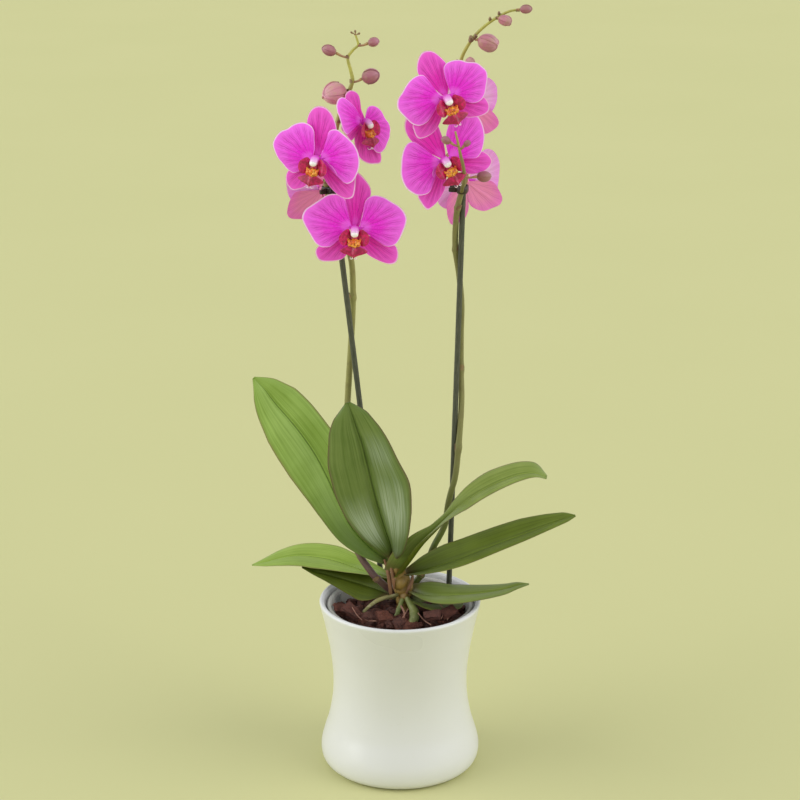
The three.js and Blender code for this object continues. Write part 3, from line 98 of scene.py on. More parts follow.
SPIKE_RIGHT = {"path": [[9.61, 10, 155.42], [13.09, 11, 162.55], [18.32, 12, 169.67], [24.38, 12.5, 182.61], [29.53, 12.5, 196.64], [34.69, 12.5, 206.89], [38.95, 12, 217.29], [41.41, 11.5, 235.03], [43.91, 11.3, 247.05], [47.24, 11, 259.98], [49.98, 12.5, 286.73], [52.48, 17, 328.44], [51.82, 20, 355.14], [51.57, 20.5, 385.04], [51.8, 19.5, 413.33], [49.36, 18, 438.87], [46.2, 15.5, 460.12], [45.98, 12.5, 479.59], [47.35, 7, 497.76], [50.45, 4.6, 511.71], [52.8, 4, 521.85], [53.48, 3, 534.52], [52.95, 4, 550.85], [51.15, 5, 572.84], [49.35, 6, 595.49], [48.89, 6, 611.7], [49.54, 6, 620.97], [54.24, 5, 631.17], [61.49, 4, 641.24], [71.2, 3, 649.99], [80.67, 2, 656.16], [86.96, 1, 659.31], [94.46, 0, 660.95]],
    "radii": [2.9, 2.9, 2.9, 2.9, 2.8, 2.8, 2.7, 2.7, 2.6, 2.6, 2.6, 2.4, 2.4, 2.5, 2.5, 2.5, 2.5, 2.5, 2.4, 2.3, 2.2, 2.1, 2, 1.9, 1.8, 1.6, 1.5, 1.4, 1.3, 1.2, 1.1, 1, 0.9]}
BRANCH = {"path": [[50.06, 4.8, 509.99], [51.26, -8, 519.44], [51.88, -26, 529.88], [50.1, -42, 543.79], [47.9, -47, 552.86], [46.2, -49, 561.27], [43.72, -50, 571.83]],
    "radii": [1.6, 1.5, 1.5, 1.4, 1.3, 1.1, 0.8]}
FLOWERS = {
    "a1": {"hub": [-36.87, -26, 487.03], "yaw": 2, "pitch": 4, "roll": 3, "scale": 1, "start": [-53.71, 12, 492.41], "petals": [[[-3.7, 0.9], [-8.1, -0.5], [-12.4, -4.7], [-14.6, -10.1], [-19.3, -14.2], [-23.3, -14.9], [-27.4, -14.4], [-31.5, -11.3], [-35, -6.1], [-38.9, -0.2], [-41.7, 5], [-42.9, 8.6], [-40.7, 15.2], [-36.4, 18.7], [-29.7, 23.5], [-22.7, 28], [-15.4, 28.8], [-10.8, 26.8], [-8.3, 23.3], [-7.3, 18], [-5.8, 10.7], [-3.5, 5.4]], [[4.2, 4.1], [5.2, 9.5], [6.8, 15.8], [6.9, 21.1], [8.1, 24.8], [11.2, 27.8], [15.2, 29.2], [22.4, 28.3], [28.8, 24.9], [34.2, 21.8], [38.4, 17.9], [41.6, 11.9], [41, 6.2], [38.9, 0], [36.4, -6.7], [33.3, -10.7], [28.5, -12.2], [24.3, -11.3], [18.6, -7.4], [13.1, -3.2], [8.5, 0.7]]],
        "sepals": [[[2.2, -3.4], [9.6, -5.6], [21.1, -8.4], [30.2, -10.2], [34.4, -12.5], [36.5, -17.6], [36.3, -23.1], [34.3, -26.7], [29.9, -27.6], [24.9, -26.4], [18.6, -23.9], [13.2, -21.1], [7.7, -16.8], [3.3, -10.8]], [[3.9, 3.2], [5.3, 9], [6.6, 16.4], [8.3, 23], [11.9, 28.3], [11.4, 34.4], [7.5, 40.2], [2.4, 45.6], [-0.4, 47.1], [-4, 44.1], [-7.3, 36.8], [-8.7, 27.8], [-7.9, 19], [-6.1, 11], [-3.4, 2.9]], [[-1.9, -3.6], [-7.4, -6.3], [-17.8, -9.7], [-26.6, -13.5], [-30.5, -18.2], [-30.1, -23.2], [-27.3, -26.9], [-20.3, -27.5], [-13, -26.4], [-8.3, -24.2], [-4, -18.5], [-1.5, -11]]]},
    "a2": {"hub": [-66.51, -38, 547.01], "yaw": -14, "pitch": 6, "roll": 8, "scale": 0.97, "start": [-56.09, -2, 543.8], "petals": [[[-3.7, 1.5], [-2.3, 9.7], [-3.9, 16.7], [-5.3, 22.9], [-7.8, 26.2], [-12, 28], [-16.8, 28.2], [-23, 25.5], [-28.2, 21], [-33.4, 18], [-36.6, 13.3], [-38.2, 6.5], [-35.5, 0.6], [-32.1, -4.2], [-27.3, -8.2], [-23, -11.9], [-17.7, -14], [-13.4, -12.2], [-10.1, -8.8], [-6.2, -4]], [[3.2, 4.1], [4, 8], [6, 12.1], [6.9, 17.7], [6.6, 23.2], [8.5, 26.5], [13.8, 27.9], [19.1, 25.8], [25.2, 22.4], [30.9, 17.7], [34.1, 12.7], [36.1, 7.5], [36.6, 0.3], [34.9, -7.3], [32.7, -11.9], [29.2, -14.2], [25.4, -13.3], [20.8, -9.1], [16.1, -3.6], [8.6, 1]]],
        "sepals": [[[2.3, -3], [5.8, -9], [9.3, -15.1], [13.3, -19.4], [17.7, -22.9], [22.4, -25.7], [27.2, -27], [31.1, -27], [34.4, -24.8], [35.3, -18.6], [34.9, -11.1], [33.2, -4.7], [24.3, -1.4], [12.1, 0.1]], [[-4.1, 4.1], [-6, 10.4], [-9.9, 18], [-13.3, 26.4], [-13.7, 33.8], [-11.7, 39.1], [-8.2, 42.4], [-4.5, 43.7], [0.3, 43], [5.6, 39.2], [9.3, 34.3], [11.6, 29.4], [11.9, 24.5], [8.3, 18.1], [5.2, 10.9], [2.4, 4.5]], [[-2.9, -3.2], [-10.3, -5.9], [-18.5, -9.6], [-23.9, -14.8], [-24, -20.7], [-21.4, -26.2], [-18, -28.5], [-13.3, -27.6], [-8.4, -25.1], [-4.7, -20.3], [-1.2, -11.2]]]},
    "a3": {"hub": [-30.24, -8, 571.16], "yaw": 50, "pitch": 6, "roll": 2, "scale": 0.93, "start": [-50.12, -3, 571.86], "petals": [[[-4.1, 0.5], [-11.6, -2.2], [-17.4, -4.8], [-22.7, -7.3], [-27.3, -3.7], [-31, 3.3], [-33.8, 11.3], [-34.4, 18.1], [-31.1, 23.3], [-24.8, 24.4], [-17.7, 20.7], [-11, 14.5], [-4.6, 5.7]], [[2.1, 3.4], [4.3, 8.5], [6.9, 12.7], [11.4, 13.9], [17.8, 12], [23.5, 7.6], [27.6, 1.3], [32.5, -4.1], [34.2, -10.1], [33.5, -15.9], [29.6, -21.3], [25.3, -25.7], [19, -28.1], [12.9, -26], [7.4, -20.3], [3.8, -12.5], [2.1, -3.7]]],
        "sepals": [[[1.8, -3.7], [7.9, -11.3], [15.8, -18.3], [22.7, -24.8], [25.2, -29.9], [25.5, -35.2], [23.8, -37.9], [18.3, -38.1], [10.5, -37], [3.2, -34], [-3.2, -29.2], [-6.9, -23.1], [-9.1, -17.2], [-9.5, -12], [-4.4, -6.5]], [[5, 2.5], [3.5, 7.4], [0.9, 12.9], [0.7, 19.3], [-0.9, 24.4], [-5.9, 28.3], [-11.5, 29.3], [-16.3, 26.6], [-17.3, 19.8], [-13.9, 12.6], [-7.1, 5.9], [-0.4, 1.3]], [[-1.3, -1.2], [-9.7, -1.1], [-19.7, -0.9], [-25.2, -1.2], [-23.7, -4.8], [-19.1, -9.4], [-13.5, -13.9], [-7.8, -10], [-2.3, -5.4]]]},
    "a4": {"hub": [-65.61, 38, 506.95], "yaw": 205, "pitch": -4, "roll": 4, "scale": 0.92, "start": [-59.98, 5, 519.97], "petals": [[[1.9, 1.1], [8.6, 8.5], [18.3, 17.4], [26.8, 21], [31, 18.5], [32.8, 11.5], [32.6, 4.5], [30.6, -4.1], [25.3, -9.1], [16.5, -9.6], [7.4, -6.4], [2.2, -2.1]], [[-4.3, 1.9], [-12.1, 7], [-21.6, 11], [-28.7, 11.8], [-32.2, 7.5], [-32.4, 0.1], [-30.7, -6.2], [-25, -12.7], [-17.8, -14.3], [-10.1, -11.2], [-4.6, -4.6]]],
        "sepals": [[[2.2, -1.8], [13.9, 0.8], [26.8, 1.9], [31.4, -2.9], [34.5, -7.8], [36.7, -12.9], [37.2, -17.9], [34.8, -21], [27, -22.9], [19, -23.4], [9.4, -19.5], [1.4, -11.6], [0.5, -4.4]], [[2.6, 3.4], [6.8, 11.4], [8.8, 20.9], [8, 30], [3.6, 35.8], [-1.9, 36.8], [-7, 33.2], [-8.9, 25.5], [-7.6, 16.5], [-4.8, 8.6], [-1.7, 2.6]], [[-1.7, -2], [-9.4, -4.1], [-18.6, -9.3], [-25.5, -16.8], [-25.7, -23.3], [-19.6, -25.1], [-11.1, -21.9], [-4.2, -14.4], [-0.7, -6.4]]]},
    "b1": {"hub": [36.72, -38, 595.86], "yaw": 9, "pitch": 5, "roll": -21, "scale": 0.98, "start": [48.95, 6, 605.23], "petals": [[[-3.9, 5.2], [-4.8, 7.5], [-6.9, 12.8], [-8.4, 17.7], [-9.2, 22.3], [-10.9, 25.1], [-14.2, 26.4], [-18, 26.3], [-22.9, 25], [-28, 22.2], [-32.7, 18.6], [-36.4, 16.2], [-39, 12], [-39.8, 7.9], [-37.7, 1.7], [-35.4, -3.6], [-32.8, -8], [-29, -10.9], [-24.3, -11.5], [-19.2, -9.7], [-15, -6.5], [-11.1, -1.7], [-6.5, 2]], [[5.1, 3.7], [5.2, 7.7], [4.8, 13.3], [5.5, 19.5], [7, 24.2], [9.9, 26.5], [15, 27], [21, 25.3], [26, 21.5], [33.4, 17.8], [36.6, 13.2], [38.4, 9.1], [37.5, 4.1], [34.1, -2.1], [30.5, -8.1], [26.5, -11], [21.8, -11.7], [17.8, -10.7], [14.4, -8.1], [11.7, -3.8], [8.5, 0.1]]],
        "sepals": [[[5, -1.3], [12.7, -3.2], [22, -6.7], [29.4, -10.7], [31.5, -15.5], [31.1, -19.7], [28.4, -23], [22.5, -23.9], [16.2, -22.7], [10.4, -20.5], [6.8, -16], [3.5, -8.5]], [[-1.5, 5.7], [-4.8, 10.5], [-9, 17.4], [-13, 23.8], [-13.7, 29.7], [-11, 35.6], [-6.9, 39.9], [-3.3, 41.6], [0.9, 41], [4.4, 38.6], [7.2, 34.7], [9.4, 30.4], [10.9, 25.5], [10.3, 19], [7.1, 11.7], [3.7, 5.3]], [[-3.7, -2.1], [-11.2, -3.3], [-21.6, -5.5], [-29.4, -7.5], [-33.2, -9.9], [-33.8, -14], [-33.8, -18.4], [-32.2, -21.6], [-28.2, -22.4], [-21.8, -21.8], [-16.7, -19.9], [-12.1, -16.5], [-7.5, -10.9], [-3.3, -5.7]]]},
    "b2": {"hub": [36.08, -27, 543.96], "yaw": 8, "pitch": 5, "roll": -26, "scale": 0.97, "start": [53.15, 4, 546.73], "petals": [[[-3.7, 4.4], [-6.9, 9.3], [-10.8, 15], [-12.7, 20.6], [-14.8, 24.6], [-17.5, 27.3], [-21.9, 27.7], [-26.3, 25.1], [-30.4, 20.4], [-34.6, 13.2], [-37.8, 6.7], [-39.2, 0.4], [-38.9, -5.1], [-36.4, -10.6], [-33.7, -14.3], [-30.1, -16.4], [-24.6, -17.2], [-20.5, -15.1], [-17.3, -9.8], [-14.5, -4.3], [-11.1, -1], [-5.5, 0.7]], [[4.5, 1.1], [5.6, 9.4], [9.5, 18.6], [16.3, 26.1], [24.4, 29.2], [33.2, 28.1], [39.7, 22.3], [41.3, 15.1], [39.5, 5.7], [34.8, -2.1], [29.8, -7.4], [25, -9.4], [20, -7.8], [15.3, -4.2], [9.5, -1]]],
        "sepals": [[[4.2, -4.2], [13.3, -5.8], [23, -7.2], [31.3, -7.8], [34.8, -12.2], [35.9, -17.8], [34.4, -21.2], [30, -23.3], [22.7, -23.2], [14.7, -20.3], [8.1, -14.5], [3.7, -8.2]], [[-1.6, 3.9], [-6.4, 9.2], [-11, 14.8], [-14.8, 21.9], [-17.8, 28.9], [-18, 36], [-15.8, 42.2], [-11.6, 46.4], [-5.3, 47.8], [0.9, 45.5], [5.7, 40.3], [7.9, 33.7], [7.9, 24.5], [6, 14.4], [3.1, 4.8]], [[-4, -2.8], [-10.6, -4.9], [-20.6, -8.2], [-28.3, -11.7], [-33, -16.1], [-32.9, -22.6], [-32, -27.7], [-30.5, -30], [-26.6, -30], [-21.3, -28.6], [-15.4, -25.5], [-10.7, -21.8], [-5.8, -15], [-2.5, -7.3]]]},
    "b3": {"hub": [56.17, 40, 581.4], "yaw": 165, "pitch": 0, "roll": 12, "scale": 0.9, "start": [51.1, 5, 577.75], "petals": [[[-2.4, 1.3], [-7.7, 9.6], [-14.1, 15.4], [-21.1, 17.2], [-25.3, 14], [-28.3, 7.5], [-27.8, 0.6], [-25.7, -6], [-22.3, -11.6], [-17.6, -15], [-10.5, -12.4], [-4.4, -4.7]], [[2.8, 2.1], [8.8, 11.4], [15.2, 18], [21.9, 18.2], [27, 12.5], [28.7, 4.4], [26.2, -2.6], [19.1, -5.7], [9.7, -2.9]]],
        "sepals": [[[-2.3, -2], [-10.5, -6.6], [-18.3, -11.1], [-22.9, -16.3], [-25.6, -22.9], [-24.2, -27.3], [-19.2, -30.3], [-10.9, -32.8], [-5.2, -29.5], [-1.1, -20.5], [0.7, -9.9]], [[1.1, 5.1], [3.9, 12.1], [4.8, 21.6], [1.8, 28.6], [-4, 30.9], [-9.3, 29], [-12.4, 23.4], [-10.9, 14.3], [-5.3, 5.9]], [[2.3, -3.2], [5.5, -10.1], [10.8, -17.6], [17.5, -22.1], [22.2, -19.4], [21.7, -12], [15.2, -5.6], [7.6, -1.3]]]},
    "b4": {"hub": [54.74, 40, 513.32], "yaw": 185, "pitch": -6, "roll": -20, "scale": 0.95, "start": [53.5, 3, 532.03], "petals": [[[-2.4, 4.4], [-2.4, 16.4], [-4.3, 26.8], [-8.6, 32.8], [-13.2, 33.1], [-18.7, 30.1], [-23.2, 24.5], [-26.3, 17.2], [-28.4, 8.6], [-28.5, 1.6], [-21.5, 0.1], [-10.5, 1.5]], [[3.6, -1.4], [10.8, -2], [16.1, -9.5], [18.1, -19.5], [16.8, -25.1], [12.1, -28.5], [6.9, -28.5], [1.6, -22.3], [-0.2, -10.4]]],
        "sepals": [[[-3.2, -0.2], [-10.1, 4.1], [-18.3, 7.4], [-24.2, 6.7], [-31.5, 1.3], [-35.9, -4.1], [-35.5, -9.8], [-30, -14.9], [-24.5, -19], [-17.8, -20.1], [-10.7, -18.5], [-5.9, -11.8], [-2.4, -4.6]], [[3.9, 3.9], [9.8, 9.8], [14.4, 18.5], [14.3, 25.9], [10.5, 29.6], [5.1, 29.1], [0.7, 22.2], [-1, 13.5], [-0.7, 5.5]], [[1.3, -5.9], [8, -10.9], [10, -20], [7.9, -28.5], [3.6, -35.9], [-0.8, -39.8], [-5, -37.1], [-9.9, -32.7], [-10.9, -26.3], [-10.2, -20.5], [-6.5, -13.4], [-2.5, -7.4]]]},
}
BUDS_LEFT = [
    {"centre": [-52.56, -9, 595.23], "from": [-41.88, -2, 596.05], "radius": 9.6, "half": 10.6},
    {"centre": [-23.6, -4, 608.32], "from": [-38.07, -1, 603.15], "radius": 6.8, "half": 7.6},
    {"centre": [-56.86, -2, 628.62], "from": [-41.76, 1, 622.47], "radius": 4.8, "half": 6.2},
    {"centre": [-21.22, 0, 634.87], "from": [-33.29, 2, 632.02], "radius": 4, "half": 4.8},
]
BUDS_RIGHT = [
    {"centre": [100.32, -2, 661.45], "from": [93.27, 0, 660.79], "radius": 3.9, "half": 5.2},
    {"centre": [83.68, -3, 652.65], "from": [77.5, 2, 654.34], "radius": 4.6, "half": 6.2},
    {"centre": [70.39, -2, 635.01], "from": [59.37, 4, 637.32], "radius": 7.6, "half": 8.8},
    {"centre": [56.24, -4, 620.13], "from": [49.97, 6, 617.35], "radius": 3.6, "half": 5},
]
BUDS_BRANCH = [
    {"centre": [36.24, -52, 565.44], "from": [45.81, -49, 560.47], "radius": 3.3, "half": 4.2},
    {"centre": [52.87, -50, 562.66], "from": [47.44, -48, 557.87], "radius": 2.6, "half": 3.2},
    {"centre": [67.7, -22, 530.26], "from": [51.87, -26, 530.7], "radius": 4.8, "half": 6.2},
]
CLIPS = {"left": [-57.36, 5.5, 513.18], "right": [51.49, 7.3, 513.63]}
NODES_LEFT = [[-20, 5.5, 168.61], [-41.19, 20, 417.55], [-40.78, 15, 460.24], [-59.87, 6, 518.09]]
NODES_RIGHT = [[18.32, 12, 169.67], [49.98, 12.5, 286.73], [51.82, 20, 355.14], [46.2, 15.5, 460.12], [47.35, 7, 497.76]]

POT_PROFILE = [(0, 0), (30, 0), (58, 0), (60.4, 0.3), (64.8, 2.2), (68, 6), (69.5, 12), (69.3, 19), (66.6, 29.5), (63.1, 41), (60.6, 53),
               (59.0, 64.5), (58.5, 76), (58.8, 87.5), (59.9, 99), (61.5, 111), (63.6, 122), (66.0, 134), (68.6, 144.8), (69.7, 149.3),
               (70, 151.2), (69.4, 152.5), (68.2, 153), (66.9, 152.7), (65.9, 151.6), (65.2, 149.4), (64.0, 142), (60.3, 125), (57.6, 111), (55.6, 99),
               (54.5, 87), (54.2, 76), (54.8, 64), (56.3, 53), (58.5, 41), (60.8, 31), (62.4, 22), (62.2, 15), (60, 10.6), (55, 8.6), (40, 8.5), (0, 8.5)]
MIDLOBE = [(1.8, -10.6), (4.9, -12.3), (9.6, -14.4), (11.4, -16.1), (8.3, -18.0), (3.8, -19.4), (1.0, -20.7), (0.0, -21.2), (-1.0, -20.7), (-3.8, -19.4), (-8.3, -18.0), (-11.4, -16.1), (-9.6, -14.4), (-4.9, -12.3), (-1.8, -10.6)]
SIDELOBE = [(3.0, -7.3), (5.2, -11.1), (8.6, -11.7), (11.2, -9.7), (12.3, -5.9), (11.0, -1.9), (8.6, 0.7), (5.8, 2.1), (3.8, 0.3), (2.8, -3.3)]


# ---------------------------------------------------------------- curves and meshes
def curve_at(P, ts):
    P = np.array(P, float)
    n = len(P)
    out = []
    for t in ts:
        p = (n - 1) * min(1.0, max(0.0, t))
        i = int(min(math.floor(p), n - 2))
        w = p - i
        p1, p2 = P[i], P[i + 1]
        p0 = P[i - 1] if i > 0 else 2 * P[0] - P[1]
        p3 = P[i + 2] if i + 2 < n else 2 * P[-1] - P[-2]
        d0 = max(float(((p0 - p1) ** 2).sum()), 1e-12) ** 0.25
        d1 = max(float(((p1 - p2) ** 2).sum()), 1e-12) ** 0.25
        d2 = max(float(((p2 - p3) ** 2).sum()), 1e-12) ** 0.25
        a = ((p1 - p0) / d0 - (p2 - p0) / (d0 + d1) + (p2 - p1) / d1) * d1
        b = ((p2 - p1) / d1 - (p3 - p1) / (d1 + d2) + (p3 - p2) / d2) * d1
        out.append(p1 + a * w + (-3 * p1 + 3 * p2 - 2 * a - b) * w ** 2 + (2 * p1 - 2 * p2 + a + b) * w ** 3)
    return np.array(out)


def tangents(P, ts, h=0.002):
    a = curve_at(P, [max(0.0, t - h) for t in ts])
    b = curve_at(P, [min(1.0, t + h) for t in ts])
    d = b - a
    return d / np.linalg.norm(d, axis=1)[:, None]


def smooth_list(L, ts):
    L = np.array(L, float)
    if L.ndim == 1:
        return np.interp(np.array(ts) * (len(L) - 1), np.arange(len(L)), L) if len(L) < 3 else curve_at(L[:, None], ts)[:, 0]
    return curve_at(L, ts)


def unit(v):
    return v / max(1e-9, float(np.linalg.norm(v)))


class Build:
    """Collects vertices, faces, material numbers and per-vertex numbers for one object."""

    def __init__(self):
        self.v, self.f, self.m, self.a = [], [], [], {}

    def add(self, verts, faces, mat=0, **attrs):
        verts = np.array(verts, float)
        o = sum(len(x) for x in self.v)
        vol = 0.0
        for f in faces:
            for k in range(1, len(f) - 1):
                vol += float(np.dot(verts[f[0]], np.cross(verts[f[k]], verts[f[k + 1]])))
        flip = vol < 0
        self.v.append(verts)
        for f in faces:
            g = [o + i for i in f]
            self.f.append(g[::-1] if flip else g)
            self.m.append(mat)
        for k in attrs:
            if k not in self.a:
                self.a[k] = [np.zeros(o)] if o else []
        for k in self.a:
            x = attrs.get(k, 0.0)
            self.a[k].append(np.broadcast_to(np.array(x, float), (len(verts),)).copy())

    def make(self, name, materials, replaces=(), smooth=True, bevel=None):
        me = bpy.data.meshes.new(name)
        V = np.concatenate(self.v) * MM
        me.from_pydata([tuple(p) for p in V], [], self.f)
        for m in materials:
            me.materials.append(m)
        me.polygons.foreach_set("material_index", self.m)
        me.polygons.foreach_set("use_smooth", [smooth] * len(self.f))
        for k, parts in self.a.items():
            at = me.attributes.new(k, "FLOAT", "POINT")
            at.data.foreach_set("value", np.concatenate(parts).astype(np.float32))
        me.update()
        ob = bpy.data.objects.new(name, me)
        bpy.context.scene.collection.objects.link(ob)
        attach(ob, BODY)
        if replaces:
            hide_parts(*replaces)
        return ob


def sheet_faces(ni, nj):
    n = ni * nj
    at = lambda i, j, k: k * n + i * nj + j
    F = []
    for i in range(ni - 1):
        for j in range(nj - 1):
            F.append((at(i, j, 0), at(i + 1, j, 0), at(i + 1, j + 1, 0), at(i, j + 1, 0)))
            F.append((at(i, j, 1), at(i, j + 1, 1), at(i + 1, j + 1, 1), at(i + 1, j, 1)))
    edge = [(0, j) for j in range(nj - 1)] + [(i, nj - 1) for i in range(ni - 1)] + [(ni - 1, j) for j in range(nj - 1, 0, -1)] + [(i, 0) for i in range(ni - 1, 0, -1)]
    for k, (i, j) in enumerate(edge):
        p, q = edge[(k + 1) % len(edge)]
        F.append((at(i, j, 0), at(i, j, 1), at(p, q, 1), at(p, q, 0)))
    return F


def tube(B, path, radii, sides=16, steps=60, mat=0, squash=1.0, cap=True, bumps=None, ends=True, **attrs):
    """Round tube with rounded ends along a curve; bumps(t, angle) scales the radius."""
    ts = [i / steps for i in range(steps + 1)]
    C, T = curve_at(path, ts), tangents(path, ts)
    R = np.interp(np.array(ts) * (len(radii) - 1), np.arange(len(radii)), radii)
    nrm = np.array([1.0, 0, 0]) if abs(T[0][0]) < 0.8 else np.array([0, 1.0, 0])
    V, tt, aa = [], [], []
    rings = []
    extra = [(-1, 0.0, 0.35), (-1, 0.0, 0.75)] if ends else []
    for i, t in enumerate(ts):
        nrm = unit(nrm - T[i] * nrm.dot(T[i]))
        sd = np.cross(T[i], nrm)
        ring = []
        for k in range(sides):
            a = 2 * math.pi * k / sides
            r = R[i] * (bumps(t, a) if bumps else 1.0)
            V.append(C[i] + nrm * (r * math.cos(a)) + sd * (r * squash * math.sin(a)))
            tt.append(t); aa.append(k / sides)
            ring.append(len(V) - 1)
        rings.append(ring)
    F = []
    for i in range(len(rings) - 1):
        for k in range(sides):
            q = (k + 1) % sides
            F.append((rings[i][k], rings[i][q], rings[i + 1][q], rings[i + 1][k]))
    for end, sgn in ((0, -1), (len(rings) - 1, 1)):
        base = rings[end]
        prev = base
        c, d, r = C[end], T[end] * sgn, R[end]
        for lift, shrink in ((0.35, 0.9), (0.62, 0.65), (0.78, 0.3)):
            cur = []
            for k in range(sides):
                V.append(c + (V[base[k]] - c) * shrink + d * r * lift)
                tt.append(ts[end]); aa.append(k / sides)
                cur.append(len(V) - 1)
            for k in range(sides):
                q = (k + 1) % sides
                F.append((prev[k], prev[q], cur[q], cur[k]) if sgn > 0 else (prev[q], prev[k], cur[k], cur[q]))
            prev = cur
        F.append(tuple(prev) if sgn > 0 else tuple(reversed(prev)))
    B.add(V, F, mat, t=np.array(tt), ang=np.array(aa), **attrs)


def ellipsoid(B, c, axes, frame3=None, wide=24, high=16, mat=0, shape=None, **attrs):
    """Ball with its poles along the frame's second axis."""
    E = np.eye(3) if frame3 is None else np.array(frame3, float)
    V, F, tt, aa = [], [], [], []
    for i in range(high + 1):
        th = math.pi * i / high
        for k in range(wide):
            ph = 2 * math.pi * k / wide
            p = np.array([math.sin(th) * math.cos(ph), -math.cos(th), math.sin(th) * math.sin(ph)])
            if shape:
                p = p * shape(i / high, ph)
            p = p * np.array(axes)
            V.append(np.array(c) + E[0] * p[0] + E[1] * p[1] + E[2] * p[2])
            tt.append(i / high); aa.append(k / wide)
    for i in range(high):
        for k in range(wide):
            q = (k + 1) % wide
            a, b = i * wide, (i + 1) * wide
            if i == 0:
                F.append((a, b + k, b + q))
            elif i == high - 1:
                F.append((a + k, a + q, b))
            else:
                F.append((a + k, a + q, b + q, b + k))
    # keep only one vertex of each pole in use
    B.add(V, [f for f in F], mat, t=np.array(tt), ang=np.array(aa), **attrs)


# ---------------------------------------------------------------- materials
def srgb(r, g, b):
    f = lambda c: (c / 255 / 12.92) if c / 255 <= 0.04045 else (((c / 255) + 0.055) / 1.055) ** 2.4
    return (f(r), f(g), f(b), 1.0)


class Mat:
    def __init__(self, name, rough=0.5, **settings):
        self.m = bpy.data.materials.new(name)
        self.m.use_nodes = True
        self.nt = self.m.node_tree
        self.b = self.nt.nodes["Principled BSDF"]
        self.b.inputs["Roughness"].default_value = rough
        for k, v in settings.items():
            self.b.inputs[k.replace("_", " ")].default_value = v

    def node(self, kind, **kw):
        n = self.nt.nodes.new(kind)
        for k, v in kw.items():
            setattr(n, k, v)
        return n

    def link(self, a, b):
        self.nt.links.new(a, b)

    def put(self, sock, v):
        if hasattr(v, "is_linked") or isinstance(v, bpy.types.NodeSocket):
            self.link(v, sock)
        else:
            sock.default_value = v

    def attr(self, name):
        return self.node("ShaderNodeAttribute", attribute_name=name).outputs["Fac"]

    def math(self, op, a, b=0.0, c=0.0, clamp=False):
        n = self.node("ShaderNodeMath", operation=op, use_clamp=clamp)
        self.put(n.inputs[0], a); self.put(n.inputs[1], b)
        if op in ("MULTIPLY_ADD", "WRAP", "SMOOTH_MIN"):
            self.put(n.inputs[2], c)
        return n.outputs[0]

    def ramp(self, fac, stops, mode="LINEAR"):
        n = self.node("ShaderNodeValToRGB")
        n.color_ramp.interpolation = mode
        e = n.color_ramp.elements
        while len(e) < len(stops):
            e.new(0.5)
        for k, (p, c) in enumerate(stops):
            e[k].position = p
            e[k].color = c if len(c) == 4 else (*c, 1)
        self.put(n.inputs[0], fac)
        return n.outputs[0]

    def step(self, x, lo, hi):
        n = self.node("ShaderNodeMapRange", interpolation_type="SMOOTHSTEP", clamp=True)
        self.put(n.inputs[0], x)
        n.inputs[1].default_value, n.inputs[2].default_value = lo, hi
        n.inputs[3].default_value, n.inputs[4].default_value = 0.0, 1.0
        return n.outputs[0]

    def mix(self, fac, a, b, blend="MIX"):
        n = self.node("ShaderNodeMix", data_type="RGBA", blend_type=blend)
        self.put(n.inputs[0], fac)
        self.put(n.inputs[6], a); self.put(n.inputs[7], b)
        return n.outputs[2]

    def vec(self, x=0.0, y=0.0, z=0.0):
        n = self.node("ShaderNodeCombineXYZ")
        self.put(n.inputs[0], x); self.put(n.inputs[1], y); self.put(n.inputs[2], z)
        return n.outputs[0]

    def pos(self):
        return self.node("ShaderNodeTexCoord").outputs["Object"]

    def noise(self, v, scale, detail=3.0, rough=0.55, distort=0.0, color=False):
        n = self.node("ShaderNodeTexNoise")
        self.put(n.inputs["Vector"], v)
        n.inputs["Scale"].default_value = scale
        n.inputs["Detail"].default_value = detail
        n.inputs["Roughness"].default_value = rough
        n.inputs["Distortion"].default_value = distort
        return n.outputs["Color" if color else "Fac"]

    def voronoi(self, v, scale, feature="F1", out="Distance"):
        n = self.node("ShaderNodeTexVoronoi", feature=feature)
        self.put(n.inputs["Vector"], v)
        n.inputs["Scale"].default_value = scale
        return n.outputs[out]

    def bump(self, h, strength=0.3, dist=0.0004):
        n = self.node("ShaderNodeBump")
        n.inputs["Strength"].default_value = strength
        n.inputs["Distance"].default_value = dist
        self.put(n.inputs["Height"], h)
        self.link(n.outputs[0], self.b.inputs["Normal"])

    def colour(self, c):
        self.put(self.b.inputs["Base Color"], c)
        return self.m

    def rough(self, v):
        self.put(self.b.inputs["Roughness"], v)


